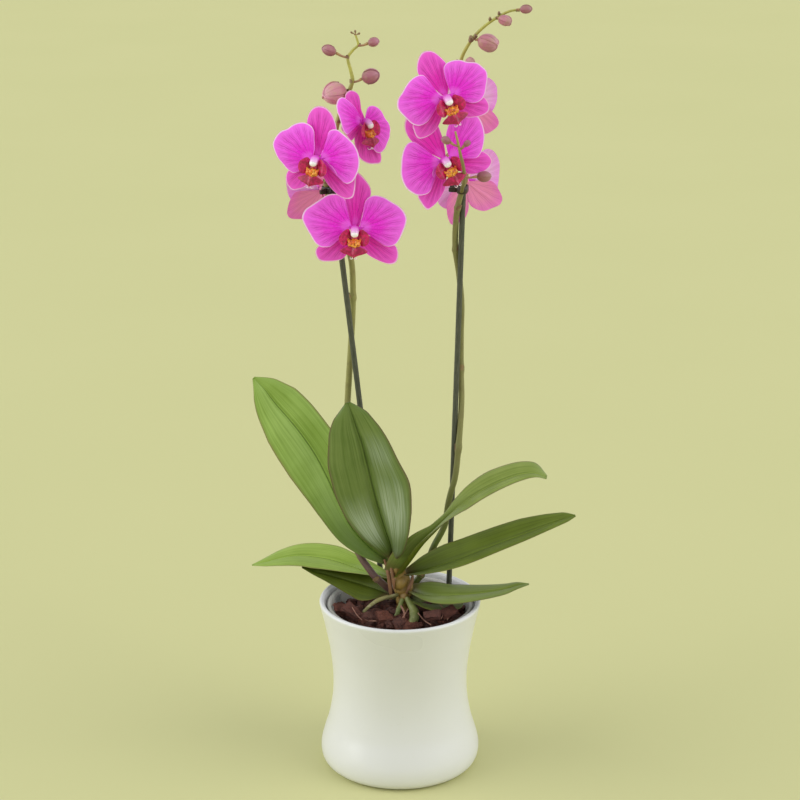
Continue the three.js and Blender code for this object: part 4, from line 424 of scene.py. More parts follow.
def leaf_material(name, light, dark, under, margin, rough=0.36, streak=0.5, midrib=(70, 90, 30), coat=0.12, painted_highlights=None, foot=0.0):
    M = Mat(name, rough, **{"Coat_Weight": coat})
    M.b.inputs["Specular IOR Level"].default_value = 0.34
    M.b.inputs["Coat Roughness"].default_value = 0.25
    s, t, side = M.attr("s"), M.attr("t"), M.attr("side")
    a = M.math("ABSOLUTE", s)
    long = M.vec(M.math("MULTIPLY", s, 9.0), M.math("MULTIPLY", t, 1.3), side)
    fine = M.vec(M.math("MULTIPLY", s, 60.0), M.math("MULTIPLY", t, 2.2), side)
    n1 = M.noise(long, 1.6, 3, 0.5)
    n2 = M.noise(fine, 1.0, 2, 0.5)
    n3 = M.noise(M.pos(), 42, 2, 0.5)
    base = M.mix(M.step(M.math("ADD", M.math("MULTIPLY", n1, 0.7), M.math("MULTIPLY", n3, 0.4)), 0.3, 0.8), srgb(*dark), srgb(*light))
    base = M.mix(M.math("MULTIPLY", M.step(n2, 0.45, 0.72), 0.22 * streak), base, srgb(*[min(255, int(c * 1.25)) for c in light]))
    base = M.mix(M.math("MULTIPLY", M.step(n2, 0.52, 0.3), 0.25 * streak), base, srgb(*[int(c * 0.7) for c in dark]))
    # darker towards the base, paler near the tip
    base = M.mix(M.math("MULTIPLY", M.step(t, 0.30, 0.0), 0.45), base, srgb(*[int(c * 0.62) for c in dark]))
    base = M.mix(M.math("MULTIPLY", M.step(t, 0.10, 0.0), 0.5), base, srgb(98, 62, 54))
    # midrib: a dark line, partly the midrib's own colour and partly painted shade in its groove, with a painted
    # highlight beside it where one wall of the groove catches the light
    line = M.step(a, 0.030, 0.008)
    base = M.mix(M.math("MULTIPLY", line, 0.55), base, srgb(*midrib))
    # painted highlight: the pale line on the lit wall of the midrib groove
    pale = M.step(M.math("ABSOLUTE", M.math("SUBTRACT", s, 0.036)), 0.024, 0.006)
    base = M.mix(M.math("MULTIPLY", pale, 0.30), base, srgb(*[min(255, int(c * 1.3)) for c in light]))
    # rim: a pale edge line, then a purple-brown one
    base = M.mix(M.math("MULTIPLY", M.step(a, 0.90, 0.975), 0.55), base, srgb(*[int(0.5 * (x + y)) for x, y in zip(light, margin)]))
    base = M.mix(M.math("MULTIPLY", M.step(a, 0.972, 0.995), 0.85), base, srgb(*margin))
    # painted shadow that leaf_2 casts on leaf_1: darker green towards the foot, more on the right half
    if foot:
        low = M.math("MULTIPLY", M.step(t, 0.46, 0.16), M.math("ADD", 0.45, M.math("MULTIPLY", M.step(s, 0.2, -0.4), 0.55)))
        base = M.mix(M.math("MULTIPLY", low, foot), base, srgb(72, 98, 20))
    # painted highlights standing in for softbox reflections: soft patches of fine pale streaks, given as (side of the
    # midrib, centre along, reach along, strength)
    fine = M.step(M.noise(M.vec(M.math("MULTIPLY", s, 22.0), M.math("MULTIPLY", t, 3.0), 4.0), 1.0, 2, 0.5), 0.36, 0.62)
    for sgn, mid, reach, amount in painted_highlights or ():
        across = M.math("MULTIPLY", M.step(M.math("MULTIPLY", s, sgn), 0.03, 0.34), M.step(M.math("MULTIPLY", s, sgn), 0.98, 0.7))
        place = M.step(M.math("ABSOLUTE", M.math("SUBTRACT", M.math("ADD", t, M.math("MULTIPLY", M.math("SUBTRACT", n2, 0.5), 0.16)), mid)), reach, 0.0)
        patch = M.math("MULTIPLY", M.math("MULTIPLY", across, place), M.math("ADD", 0.40, M.math("MULTIPLY", fine, 0.75)))
        base = M.mix(M.math("MULTIPLY", patch, amount, clamp=True), base, srgb(192, 206, 190))
    # underside
    und = M.mix(M.step(M.noise(long, 1.3, 3), 0.35, 0.7), srgb(*under), srgb(*[min(255, int(c * 1.25)) for c in under]))
    col = M.mix(side, base, und)
    M.colour(col)
    r = M.node("ShaderNodeMapRange")
    M.link(n1, r.inputs[0]); r.inputs[3].default_value = rough - 0.07; r.inputs[4].default_value = rough + 0.12
    M.rough(r.outputs[0])
    M.bump(M.math("ADD", M.math("MULTIPLY", n2, 0.5), M.math("MULTIPLY", n3, 0.25)), 0.22, 0.0005)
    return M.m


def petal_material(name, core, outer, rim, vein, back, throat, rim_at=0.972, veins=13.0, vein_amt=0.5):
    """Attributes: s from the claw (0) to the rim (1), t round the outline, side 0 front and 1 back, tone per petal."""
    M = Mat(name, 0.52)
    M.b.inputs["Sheen Weight"].default_value = 0.08
    M.b.inputs["Sheen Roughness"].default_value = 0.4
    M.b.inputs["Specular IOR Level"].default_value = 0.3
    M.b.inputs["Subsurface Weight"].default_value = 0.12
    M.b.inputs["Subsurface Radius"].default_value = (0.004, 0.0015, 0.003)
    M.b.inputs["Subsurface Scale"].default_value = 0.6
    s, t, side, tone = M.attr("s"), M.attr("t"), M.attr("side"), M.attr("tone")
    wob = M.noise(M.vec(M.math("MULTIPLY", s, 2.0), M.math("MULTIPLY", t, 6.0), tone), 2.0, 2, 0.6)
    tw = M.math("ADD", t, M.math("MULTIPLY", M.math("SUBTRACT", wob, 0.5), 0.05))
    def lines(count, sharp):
        w = M.math("ABSOLUTE", M.math("SUBTRACT", M.math("FRACT", M.math("MULTIPLY", tw, count)), 0.5))
        return M.step(w, 0.0 + sharp, 0.0)
    l1 = lines(veins, 0.16)
    l2 = M.math("MULTIPLY", lines(veins * 2.0, 0.20), M.step(s, 0.42, 0.62))
    l3 = M.math("MULTIPLY", lines(veins * 4.0, 0.30), M.step(s, 0.66, 0.86))
    v = M.math("MAXIMUM", M.math("MAXIMUM", l1, M.math("MULTIPLY", l2, 0.8)), M.math("MULTIPLY", l3, 0.55))
    cell = M.noise(M.pos(), 1000, 2, 0.5)
    grad = M.step(M.math("ADD", s, M.math("MULTIPLY", M.math("SUBTRACT", wob, 0.5), 0.5)), 0.30, 1.02)
    base = M.mix(grad, srgb(*core), srgb(*outer))
    base = M.mix(M.math("MULTIPLY", M.step(cell, 0.45, 0.72), 0.30), base, srgb(*outer))
    base = M.mix(M.math("MULTIPLY", M.math("MULTIPLY", v, vein_amt), M.step(s, 1.0, 0.75)), base, srgb(*vein))
    base = M.mix(M.math("MULTIPLY", M.step(s, 0.30, 0.14), 0.65), base, srgb(*throat))
    base = M.mix(M.math("MULTIPLY", M.step(s, rim_at - 0.022, rim_at + 0.006), 0.85), base, srgb(*rim))
    bk = M.mix(M.math("MULTIPLY", v, 0.25), srgb(*back), srgb(*vein))
    bk = M.mix(M.math("MULTIPLY", M.step(s, 0.62, 0.98), 0.35), bk, srgb(*outer))
    col = M.mix(side, base, bk)
    M.colour(col)
    M.bump(M.math("ADD", M.math("MULTIPLY", v, -0.6), M.math("MULTIPLY", cell, 0.5)), 0.30, 0.0004)
    return M.m


def glaze_material():
    M = Mat("glaze", 0.3, Coat_Weight=0.35)
    M.b.inputs["Coat Roughness"].default_value = 0.14
    M.b.inputs["Specular IOR Level"].default_value = 0.5
    n = M.noise(M.pos(), 9, 3, 0.5)
    f = M.noise(M.pos(), 380, 2, 0.6)
    col = M.mix(n, srgb(216, 217, 216), srgb(226, 227, 227))
    col = M.mix(M.math("MULTIPLY", M.step(f, 0.66, 0.74), 0.10), col, srgb(196, 194, 172))
    M.colour(col)
    M.rough(M.math("ADD", M.math("MULTIPLY", n, 0.10), 0.24))
    M.bump(M.math("ADD", M.math("MULTIPLY", n, 0.7), M.math("MULTIPLY", f, 0.06)), 0.14, 0.0012)
    return M.m


def clear_plastic_material():
    M = Mat("clear_plastic", 0.18)
    M.b.inputs["Alpha"].default_value = 0.55
    n = M.noise(M.pos(), 60, 3, 0.6)
    dirt = M.noise(M.pos(), 160, 4, 0.65)
    col = M.mix(n, srgb(206, 206, 198), srgb(232, 230, 222))
    col = M.mix(M.math("MULTIPLY", M.step(dirt, 0.62, 0.76), 0.4), col, srgb(128, 112, 92))
    M.colour(col)
    M.rough(M.math("ADD", M.math("MULTIPLY", n, 0.22), 0.12))
    M.bump(n, 0.25, 0.0008)
    return M.m


def bark_material():
    M = Mat("bark", 0.82)
    P = M.pos()
    tone, grain = M.attr("tone"), M.attr("grain")
    n = M.noise(P, 150, 5, 0.65)
    st = M.noise(M.vec(M.math("MULTIPLY", grain, 60.0), tone, M.math("MULTIPLY", n, 1.5)), 4.0, 4, 0.65)
    crack = M.step(M.voronoi(P, 260, "DISTANCE_TO_EDGE"), 0.06, 0.0)
    col = M.mix(tone, srgb(48, 25, 22), srgb(134, 78, 60))
    col = M.mix(M.math("MULTIPLY", M.step(st, 0.40, 0.68), 0.6), col, srgb(100, 50, 36))
    col = M.mix(M.math("MULTIPLY", M.step(n, 0.56, 0.72), 0.35), col, srgb(146, 104, 88))
    col = M.mix(M.math("MULTIPLY", crack, 0.6), col, srgb(26, 14, 13))
    M.colour(col)
    M.rough(M.math("ADD", M.math("MULTIPLY", n, 0.25), 0.62))
    M.bump(M.math("SUBTRACT", M.math("ADD", n, M.math("MULTIPLY", st, 0.8)), crack), 0.7, 0.0012)
    return M.m


def stalk_material(name, low, mid, high, blush, rough=0.5, blush_amt=0.35):
    """Attribute t along the stalk; tone 1 on flower stalks, which turn pinkish towards the flower."""
    M = Mat(name, rough, Coat_Weight=0.1)
    t, tone, ang = M.attr("t"), M.attr("tone"), M.attr("ang")
    P = M.pos()
    n = M.noise(P, 120, 4, 0.6)
    spots = M.noise(M.vec(M.math("MULTIPLY", ang, 3.0), M.math("MULTIPLY", t, 60.0), 0.0), 3.0, 3, 0.6)
    col = M.ramp(t, [(0.0, srgb(*low)), (0.14, srgb(*low)), (0.34, srgb(*mid)), (0.64, srgb(*mid)), (0.84, srgb(*high))])
    col = M.mix(M.math("MULTIPLY", M.step(n, 0.42, 0.7), blush_amt), col, srgb(*blush))
    col = M.mix(M.math("MULTIPLY", M.step(spots, 0.58, 0.7), 0.28), col, srgb(88, 66, 60))
    col = M.mix(M.math("MULTIPLY", tone, 0.75), col, srgb(176, 118, 96))
    M.colour(col)
    M.bump(M.math("ADD", n, M.math("MULTIPLY", spots, 0.4)), 0.25, 0.0005)
    return M.m


def mottled(name, a, b, c, scale=200, rough=0.6, bumpy=0.4, dist=0.0005, **kw):
    M = Mat(name, rough, **kw)
    P = M.pos()
    n = M.noise(P, scale, 4, 0.6)
    m = M.noise(P, scale * 0.3, 3, 0.55)
    col = M.mix(M.step(m, 0.36, 0.64), srgb(*a), srgb(*b))
    col = M.mix(M.math("MULTIPLY", M.step(n, 0.55, 0.72), 0.7), col, srgb(*c))
    M.colour(col)
    M.rough(M.math("ADD", M.math("MULTIPLY", n, 0.2), rough - 0.1))
    M.bump(M.math("ADD", n, m), bumpy, dist)
    return M.m


def bud_material(name="bud_skin"):
    """t from the stalk end (0) to the tip (1), ang round the bud."""
    M = Mat(name, 0.5)
    M.b.inputs["Sheen Weight"].default_value = 0.2
    t, ang, tone = M.attr("t"), M.attr("ang"), M.attr("tone")
    P = M.pos()
    n = M.noise(P, 160, 3, 0.55)
    vein = M.noise(M.vec(M.math("MULTIPLY", ang, 26.0), M.math("MULTIPLY", t, 1.2), tone), 1.2, 2, 0.5)
    seam = M.step(M.math("ABSOLUTE", M.math("SUBTRACT", M.math("FRACT", M.math("MULTIPLY", ang, 3.0)), 0.5)), 0.04, 0.0)
    col = M.ramp(t, [(0.0, srgb(134, 78, 70)), (0.25, srgb(178, 98, 112)), (0.6, srgb(206, 136, 152)), (1.0, srgb(224, 166, 184))])
    col = M.mix(M.math("MULTIPLY", M.step(n, 0.46, 0.66), 0.55), col, srgb(196, 162, 132))
    col = M.mix(M.math("MULTIPLY", M.step(vein, 0.55, 0.66), 0.3), col, srgb(158, 84, 104))
    col = M.mix(M.math("MULTIPLY", seam, 0.6), col, srgb(132, 68, 78))
    dark = M.mix(0.6, col, srgb(104, 50, 56))
    col = M.mix(tone, col, dark)
    M.colour(col)
    M.bump(M.math("SUBTRACT", M.math("MULTIPLY", vein, 0.5), seam), 0.3, 0.0006)
    return M.m


def lip_material():
    """Crimson lobes: pale streaks near the inner edge (s small), pale rim."""
    M = Mat("lip_lobes", 0.36, Coat_Weight=0.15)
    M.b.inputs["Subsurface Weight"].default_value = 0.08
    M.b.inputs["Subsurface Radius"].default_value = (0.003, 0.0006, 0.001)
    s, t, tone, side = M.attr("s"), M.attr("t"), M.attr("tone"), M.attr("side")
    P = M.pos()
    n = M.noise(P, 420, 3, 0.55)
    st = M.noise(M.vec(M.math("MULTIPLY", t, 24.0), M.math("MULTIPLY", s, 1.5), tone), 1.0, 2, 0.5)
    col = M.mix(M.step(n, 0.35, 0.7), srgb(166, 0, 68), srgb(224, 6, 112))
    brown = M.mix(M.step(n, 0.4, 0.7), srgb(146, 0, 54), srgb(200, 8, 88))
    col = M.mix(tone, col, brown)
    col = M.mix(M.math("MULTIPLY", M.step(st, 0.58, 0.68), 0.16), col, srgb(232, 96, 120))
    col = M.mix(M.math("MULTIPLY", M.math("MULTIPLY", M.step(s, 0.42, 0.2), M.math("SUBTRACT", 1.0, tone)), 0.16), col, srgb(226, 96, 96))
    col = M.mix(M.math("MULTIPLY", M.step(s, 0.965, 0.998), 0.35), col, srgb(224, 90, 160))
    col = M.mix(M.math("MULTIPLY", side, 0.4), col, srgb(206, 70, 140))
    M.colour(col)
    M.bump(M.math("ADD", n, st), 0.25, 0.0004)
    return M.m


def callus_material():
    M = Mat("lip_callus", 0.38, Coat_Weight=0.2)
    P = M.pos()
    n = M.noise(P, 260, 3, 0.6)
    sp = M.voronoi(P, 520, "F1")
    col = M.mix(M.step(n, 0.36, 0.66), srgb(226, 96, 24), srgb(250, 184, 60))
    col = M.mix(M.math("MULTIPLY", M.step(sp, 0.42, 0.24), 0.85), col, srgb(158, 20, 26))
    M.colour(col)
    M.bump(n, 0.5, 0.0006)
    return M.m


def column_material():
    M = Mat("column", 0.32, Coat_Weight=0.2)
    M.b.inputs["Subsurface Weight"].default_value = 0.15
    M.b.inputs["Subsurface Radius"].default_value = (0.003, 0.002, 0.003)
    t = M.attr("t")
    n = M.noise(M.pos(), 380, 2, 0.5)
    col = M.ramp(t, [(0.0, srgb(214, 40, 184)), (0.34, srgb(226, 92, 212)), (0.66, srgb(240, 176, 236)), (0.85, srgb(248, 226, 246)), (1.0, srgb(252, 246, 250))])
    col = M.mix(M.math("MULTIPLY", M.step(n, 0.58, 0.7), 0.25), col, srgb(214, 110, 196))
    M.colour(col)
    M.bump(n, 0.15, 0.0003)
    return M.m


def stake_material():
    M = Mat("stake", 0.5)
    t, ang = M.attr("t"), M.attr("ang")
    n = M.noise(M.vec(M.math("MULTIPLY", ang, 14.0), M.math("MULTIPLY", t, 26.0), 0.0), 2.0, 4, 0.6)
    g = M.noise(M.pos(), 300, 3, 0.6)
    col = M.mix(M.step(n, 0.35, 0.68), srgb(58, 62, 52), srgb(90, 92, 78))
    col = M.mix(M.math("MULTIPLY", M.step(g, 0.58, 0.7), 0.35), col, srgb(54, 56, 48))
    M.colour(col)
    M.bump(M.math("ADD", n, M.math("MULTIPLY", g, 0.5)), 0.3, 0.0004)
    return M.m


def floor_material():
    M = Mat("backdrop", 0.9)
    M.b.inputs["Specular IOR Level"].default_value = 0.0
    n = M.noise(M.pos(), 2.0, 2, 0.5)
    M.colour(M.mix(n, srgb(*FLOOR_A), srgb(*FLOOR_B)))
    return M.m


FLOOR_A, FLOOR_B = (203, 203, 149), (207, 206, 153)

MATS = {
    "glaze": glaze_material(), "clear": clear_plastic_material(), "bark": bark_material(), "stake": stake_material(),
    # leaf_1: foot sets the strength of the painted shadow from leaf_2
    "leaf_1_left_upper": leaf_material("leaf_skin_1", (156, 186, 94), (126, 156, 60), (104, 110, 42), (116, 84, 56), rough=0.52, coat=0.0, foot=0.6),
    # leaf_2: its pale patches are painted highlights standing in for softbox reflections
    "leaf_2_centre": leaf_material("leaf_skin_2", (114, 134, 70), (84, 108, 42), (92, 100, 54), (98, 64, 62), rough=0.34, midrib=(46, 70, 16), coat=0.25,
        painted_highlights=((-1, 0.33, 0.22, 0.62), (1, 0.27, 0.18, 0.6), (-1, 0.62, 0.16, 0.30), (-1, 0.10, 0.12, 0.2))),
    "leaf_3_right_upper": leaf_material("leaf_skin_3", (142, 158, 76), (108, 128, 44), (84, 94, 24), (100, 60, 56)),
    "leaf_4_right_middle": leaf_material("leaf_skin_4", (108, 126, 34), (80, 96, 18), (78, 84, 22), (112, 96, 52), rough=0.5, coat=0.02),
    "leaf_5_right_lower": leaf_material("leaf_skin_5", (130, 146, 70), (104, 122, 46), (84, 90, 42), (98, 80, 46)),
    "leaf_6_left_back": leaf_material("leaf_skin_6", (160, 186, 84), (132, 160, 56), (96, 110, 32), (120, 98, 50)),
    "leaf_7_left_lower": leaf_material("leaf_skin_7", (90, 104, 18), (66, 80, 10), (54, 66, 12), (110, 104, 36), rough=0.6, coat=0.0),
    "leaf_8_right_inner": leaf_material("leaf_skin_8", (116, 128, 60), (88, 102, 42), (70, 76, 34), (156, 152, 70), rough=0.55, coat=0.0),
    "stem": mottled("stem_skin", (138, 110, 50), (152, 126, 60), (116, 80, 56), 140, 0.5, 0.4, 0.0008),
    "sheath": mottled("stem_sheath", (138, 98, 66), (112, 80, 54), (160, 122, 90), 220, 0.6, 0.5, 0.0007),
    "root": mottled("root_skin", (116, 112, 66), (134, 128, 76), (164, 158, 124), 240, 0.6, 0.35, 0.0006),
    "root_green": mottled("root_green", (98, 112, 52), (124, 132, 70), (168, 168, 122), 260, 0.5, 0.3, 0.0006),
    "twig": mottled("twig", (150, 108, 90), (124, 84, 68), (176, 140, 116), 300, 0.7, 0.4, 0.0004),
    "spike": stalk_material("spike_skin", (104, 76, 74), (146, 144, 86), (184, 182, 84), (112, 100, 66)),
    "spike_right": stalk_material("spike_skin_right", (84, 100, 30), (130, 128, 78), (180, 178, 84), (108, 96, 62)),
    "bract": mottled("bract_skin", (150, 128, 86), (128, 96, 78), (176, 150, 116), 260, 0.65, 0.4, 0.0005),
    "clip": mottled("clip_plastic", (40, 30, 28), (58, 44, 40), (84, 68, 60), 420, 0.42, 0.25, 0.0003),
    "petal": petal_material("petal_skin", (240, 30, 222), (255, 112, 252), (255, 224, 255), (180, 8, 160), (250, 196, 246), (255, 120, 255), rim_at=0.982, veins=15.0, vein_amt=0.52),
    "sepal": petal_material("sepal_skin", (238, 30, 194), (248, 96, 222), (255, 206, 244), (172, 12, 138), (246, 150, 196), (250, 96, 232), rim_at=0.982, veins=10.0, vein_amt=0.56),
    "lip": lip_material(), "callus": callus_material(), "column": column_material(), "bud": bud_material(),
}


# ---------------------------------------------------------------- leaves
def leaf_surface(d, n_along, S, seed):
    ts = [0.5 - 0.5 * math.cos(math.pi * (i / n_along)) * 0.999 if False else (i / n_along) ** 0.96 for i in range(n_along + 1)]
    ts[-1] = 1.0
    C, T = curve_at(d["mid"], ts), tangents(d["mid"], ts)
    near, far = smooth_list(d["near"], ts), smooth_list(d["far"], ts)
    lat, fold = smooth_list(d["lateral"], ts), smooth_list(d["fold"], ts)
    i0 = n_along // 2
    ref = np.cross(T[i0], unit(np.array(lat[i0])))
    flip = -1.0 if ref.dot(np.array([0, -0.6, 0.8])) < 0 else 1.0
    rnd = random.Random(seed)
    ph = [rnd.uniform(0, 6.28) for _ in range(4)]
    top, bot = [], []
    for i, t in enumerate(ts):
        L = lat[i] - T[i] * float(np.dot(lat[i], T[i]))
        L = unit(L)
        U = unit(np.cross(T[i], L)) * flip
        th = d["thick"] * (1 - 0.45 * t) / 2
        f = math.radians(float(fold[i]))
        a, b = [], []
        for s in S:
            w = max(0.05, float(near[i] if s < 0 else far[i]))
            x = abs(s) * w
            rise = x * math.sin(f) + d["bulge"] * w * 4 * abs(s) * (1 - abs(s))
            rise -= 0.9 * math.exp(-((s * w) / 1.25) ** 2) * min(1.0, 6 * (1 - t))
            rise += 0.30 * abs(s) ** 2 * math.sin(7.5 * t + ph[0] + (1.3 if s > 0 else 0)) * min(1.0, w / 16)
            rise += 0.12 * math.sin(13 * t + ph[1] + 3 * s) * abs(s) * min(1.0, w / 16)
            p = C[i] + L * (math.copysign(1, s) * x * math.cos(f)) + U * rise
            e = max(0.10, 1 - abs(s) ** 5)
            a.append(p + U * th * e)
            b.append(p - U * (th * e + (0.7 * math.exp(-((s * w) / 1.8) ** 2) * (1 - t))))
        top.append(a)
        bot.append(b)
    return top, bot, ts


LEAF_S = [-1, -0.992, -0.975, -0.94, -0.88, -0.79, -0.68, -0.56, -0.44, -0.33, -0.23, -0.14, -0.08, -0.045, -0.02, 0,
          0.02, 0.045, 0.08, 0.14, 0.23, 0.33, 0.44, 0.56, 0.68, 0.79, 0.88, 0.94, 0.975, 0.992, 1]


def make_leaf(name, seed):
    d = LEAVES[name]
    n = 64
    top, bot, ts = leaf_surface(d, n, LEAF_S, seed)
    ni, nj = n + 1, len(LEAF_S)
    V = [p for r in top for p in r] + [p for r in bot for p in r]
    s = np.tile(np.array(LEAF_S), ni * 2)
    t = np.tile(np.repeat(np.array(ts), nj), 2)
    side = np.repeat([0.0, 1.0], ni * nj)
    B = Build()
    B.add(V, sheet_faces(ni, nj), 0, s=s, t=t, side=side)
    return B.make("visual_" + name, [MATS[name]], [name])


# ---------------------------------------------------------------- flowers
def fan(outline, claw, rows, cols, height, thick, rnd=None, ruffle=0.0, s0=0.06, mirror=1, wob=0.0, edge_thin=0.25):
    ph = [rnd.uniform(0, 6.28) for _ in range(4)] if rnd else [0, 0, 0, 0]
    ks = [j / cols for j in range(cols + 1)]
    P = curve_at([(x, y, 0.0) for x, y in outline], ks)
    rr = [s0 + (1 - s0) * (1 - (1 - i / rows) ** 1.35) for i in range(rows + 1)]
    top, bot = [], []
    for r in rr:
        a, b = [], []
        for j, k in enumerate(ks):
            g = 1 + wob * math.sin(2 * math.pi * 2.3 * k + ph[0]) * r ** 3 + 0.5 * wob * math.sin(2 * math.pi * 5.1 * k + ph[1]) * r ** 4
            x = claw[0] + (P[j][0] - claw[0]) * r * g
            y = claw[1] + (P[j][1] - claw[1]) * r * g
            z = height(x, y, r, k)
            z += ruffle * r ** 3 * (math.sin(2 * math.pi * 1.7 * k + ph[2]) + 0.4 * math.sin(2 * math.pi * 4.3 * k + ph[3]))
            h = thick / 2 * max(edge_thin, min(1.0, 6 * (1 - r) + 0.0))
            h = thick / 2 * (edge_thin + (1 - edge_thin) * math.sqrt(max(0.0, 1 - r ** 6)))
            a.append(np.array([mirror * x, y, z + h]))
            b.append(np.array([mirror * x, y, z - h]))
        top.append(a)
        bot.append(b)
    ni, nj = rows + 1, cols + 1
    V = np.array([p for r in top for p in r] + [p for r in bot for p in r])
    s = np.tile(np.repeat(np.array(rr), nj), 2)
    t = np.tile(np.array(ks), ni * 2)
    side = np.repeat([0.0, 1.0], ni * nj)
    return V, sheet_faces(ni, nj), dict(s=s, t=t, side=side)


def flower_frame(d):
    yaw, pitch, roll = (math.radians(d[k]) for k in ("yaw", "pitch", "roll"))
    face = np.array([math.sin(yaw) * math.cos(pitch), -math.cos(yaw) * math.cos(pitch), math.sin(pitch)])
    r0 = np.array([math.cos(yaw), math.sin(yaw), 0.0])
    u0 = np.cross(face, r0)
    up = u0 * math.cos(roll) + r0 * math.sin(roll)
    right = r0 * math.cos(roll) - u0 * math.sin(roll)
    return right, up, face


def make_flower(key, label, seed):
    d = FLOWERS[key]
    right, up, face = flower_frame(d)
    hub, sc = np.array(d["hub"]), d["scale"]
    place = lambda V: hub + sc * (np.outer(V[:, 0], right) + np.outer(V[:, 1], up) + np.outer(V[:, 2], face))
    rnd = random.Random(seed)
    # sepals
    B = Build()
    for outline in d["sepals"]:
        outline = [[0.3 * c for c in outline[0]]] + outline + [[0.3 * c for c in outline[-1]]]
        claw = 0.1 * (np.array(outline[1]) + np.array(outline[-2])) / 2
        far = max(outline, key=lambda p: p[0] ** 2 + p[1] ** 2)
        axis = unit(np.array(far) + np.mean(np.array(outline), axis=0))
        curl = rnd.uniform(-0.2, 0.6)
        def height(x, y, r, kk, axis=axis, curl=curl):
            q = math.hypot(x, y)
            off = x * axis[1] - y * axis[0]
            return -1.35 - 0.0012 * q * q - 0.0045 * min(off * off, 200) - 0.5 * math.exp(-(off / 1.0) ** 2) * min(1, q / 10) - curl * (q / 40) ** 3
        V, F, A = fan(outline, claw, 20, 40, height, 0.95, rnd, 0.35, 0.05, 1, 0.006)
        B.add(place(V), F, 0, tone=rnd.uniform(0, 1), **A)
        Bt = Build()
        c1 = np.array(outline[0]) * 0.5 + np.array(outline[-1]) * 0.5
        tube(Bt, [(0, 0, -1.7), (c1[0] * 0.6, c1[1] * 0.6, -1.7), (c1[0] * 1.25, c1[1] * 1.25, -1.5)], [2.0, 1.9, 0.6], 12, 8, squash=0.7)
        B.add(place(np.concatenate(Bt.v)), Bt.f, 0, s=0.28, t=0.5, side=0.5, tone=0.5)
    Bt = Build()
    tube(Bt, [(0, 0, -1.5), (0, 0, -3.2)], [3.0, 1.7], 16, 4)
    B.add(place(np.concatenate(Bt.v)), Bt.f, 0, s=0.5, t=0.5, side=1.0, tone=0.5)
    B.make("visual_" + label + "_sepals", [MATS["sepal"]], [label + "_sepals"])
    # petals
    B = Build()
    for outline in d["petals"]:
        claw = 0.7 * (np.array(outline[0]) + np.array(outline[-1])) / 2
        axis = unit(np.mean(np.array(outline), axis=0))
        lift = rnd.uniform(-0.3, 0.5)
        def height(x, y, r, kk, lift=lift, axis=axis):
            q = math.hypot(x, y)
            off = x * axis[1] - y * axis[0]
            return 0.95 + 0.115 * q - 0.00235 * q * q - 0.0022 * off * off + lift * (q / 42) ** 2 - 0.45 * math.exp(-(off / 1.4) ** 2) * min(1, q / 12)
        V, F, A = fan(outline, claw, 26, 60, height, 0.9, rnd, 0.5, 0.05, 1, 0.006)
        B.add(place(V), F, 0, tone=rnd.uniform(0, 1), **A)
        Bt = Build()
        c1 = np.array(outline[0]) * 0.5 + np.array(outline[-1]) * 0.5
        tube(Bt, [(0, 0, 0.9), (c1[0] * 0.6, c1[1] * 0.6, 1.1), (c1[0] * 1.25, c1[1] * 1.25, 1.5)], [2.2, 2.0, 0.6], 12, 8, squash=0.7)
        B.add(place(np.concatenate(Bt.v)), Bt.f, 0, s=0.24, t=0.5, side=0.0, tone=0.5)
    B.make("visual_" + label + "_petals", [MATS["petal"]], [label + "_petals"])
    # lip and column
    B = Build()
    for mir in (1, -1):
        def height(x, y, r, kk):
            q = max(0.0, x - 3.0) / 9.0
            return 4.6 + 6.2 * q ** 0.8 - 1.6 * max(0.0, q - 0.62) * 3 + 0.012 * (y + 6) ** 2
        V, F, A = fan(SIDELOBE, (2.6, -4.7), 14, 30, height, 0.9, rnd, 0.25, 0.05, mir, 0.02)
        B.add(place(V), F, 0, tone=0.0, **A)
    def height(x, y, r, kk):
        k = abs(x)
        return 8.4 - 0.20 * (y + 10) - 0.06 * k - 0.008 * k * k + 1.5 * math.exp(-(k / 0.9) ** 2) * min(1.0, max(0.0, (-10.5 - y) / 4)) - 0.05 * max(0.0, -17.5 - y) ** 2
    V, F, A = fan(MIDLOBE, (0, -11.2), 14, 48, height, 1.3, rnd, 0.25, 0.04, 1, 0.0, 0.3)
    B.add(place(V), F, 0, tone=0.75, **A)
    # pale keel line and the two tendrils at the tip
    for x0 in (-0.75, 0.75):
        Bt = Build()
        tube(Bt, [(x0 * 0.4, -20.2, 9.6), (x0 * 1.2, -21.8, 9.2), (x0 * 2.6, -22.6, 8.0), (x0 * 3.6, -22.0, 7.0), (x0 * 3.4, -21.0, 6.8)], [0.5, 0.42, 0.34, 0.26, 0.18], 8, 14)
        B.add(place(np.concatenate(Bt.v)), Bt.f, 2, s=0.5, t=0.9, tone=0.0)
    Bt = Build()
    tube(Bt, [(0, -13.4, 9.5), (0, -15.8, 10.5), (0, -18.4, 11.0), (0, -20.6, 10.0)], [0.35, 0.5, 0.6, 0.4], 8, 12)
    B.add(place(np.concatenate(Bt.v)), Bt.f, 2, s=0.5, t=1.0, tone=0.0)
    # claw under the column
    Bt = Build()
    tube(Bt, [(0, -1.6, 4.4), (0, -6.0, 5.0), (0, -11.2, 6.6)], [2.2, 3.4, 2.6], 18, 14, squash=0.6)
    B.add(place(np.concatenate(Bt.v)), Bt.f, 0, s=0.3, t=0.4, tone=0.0)
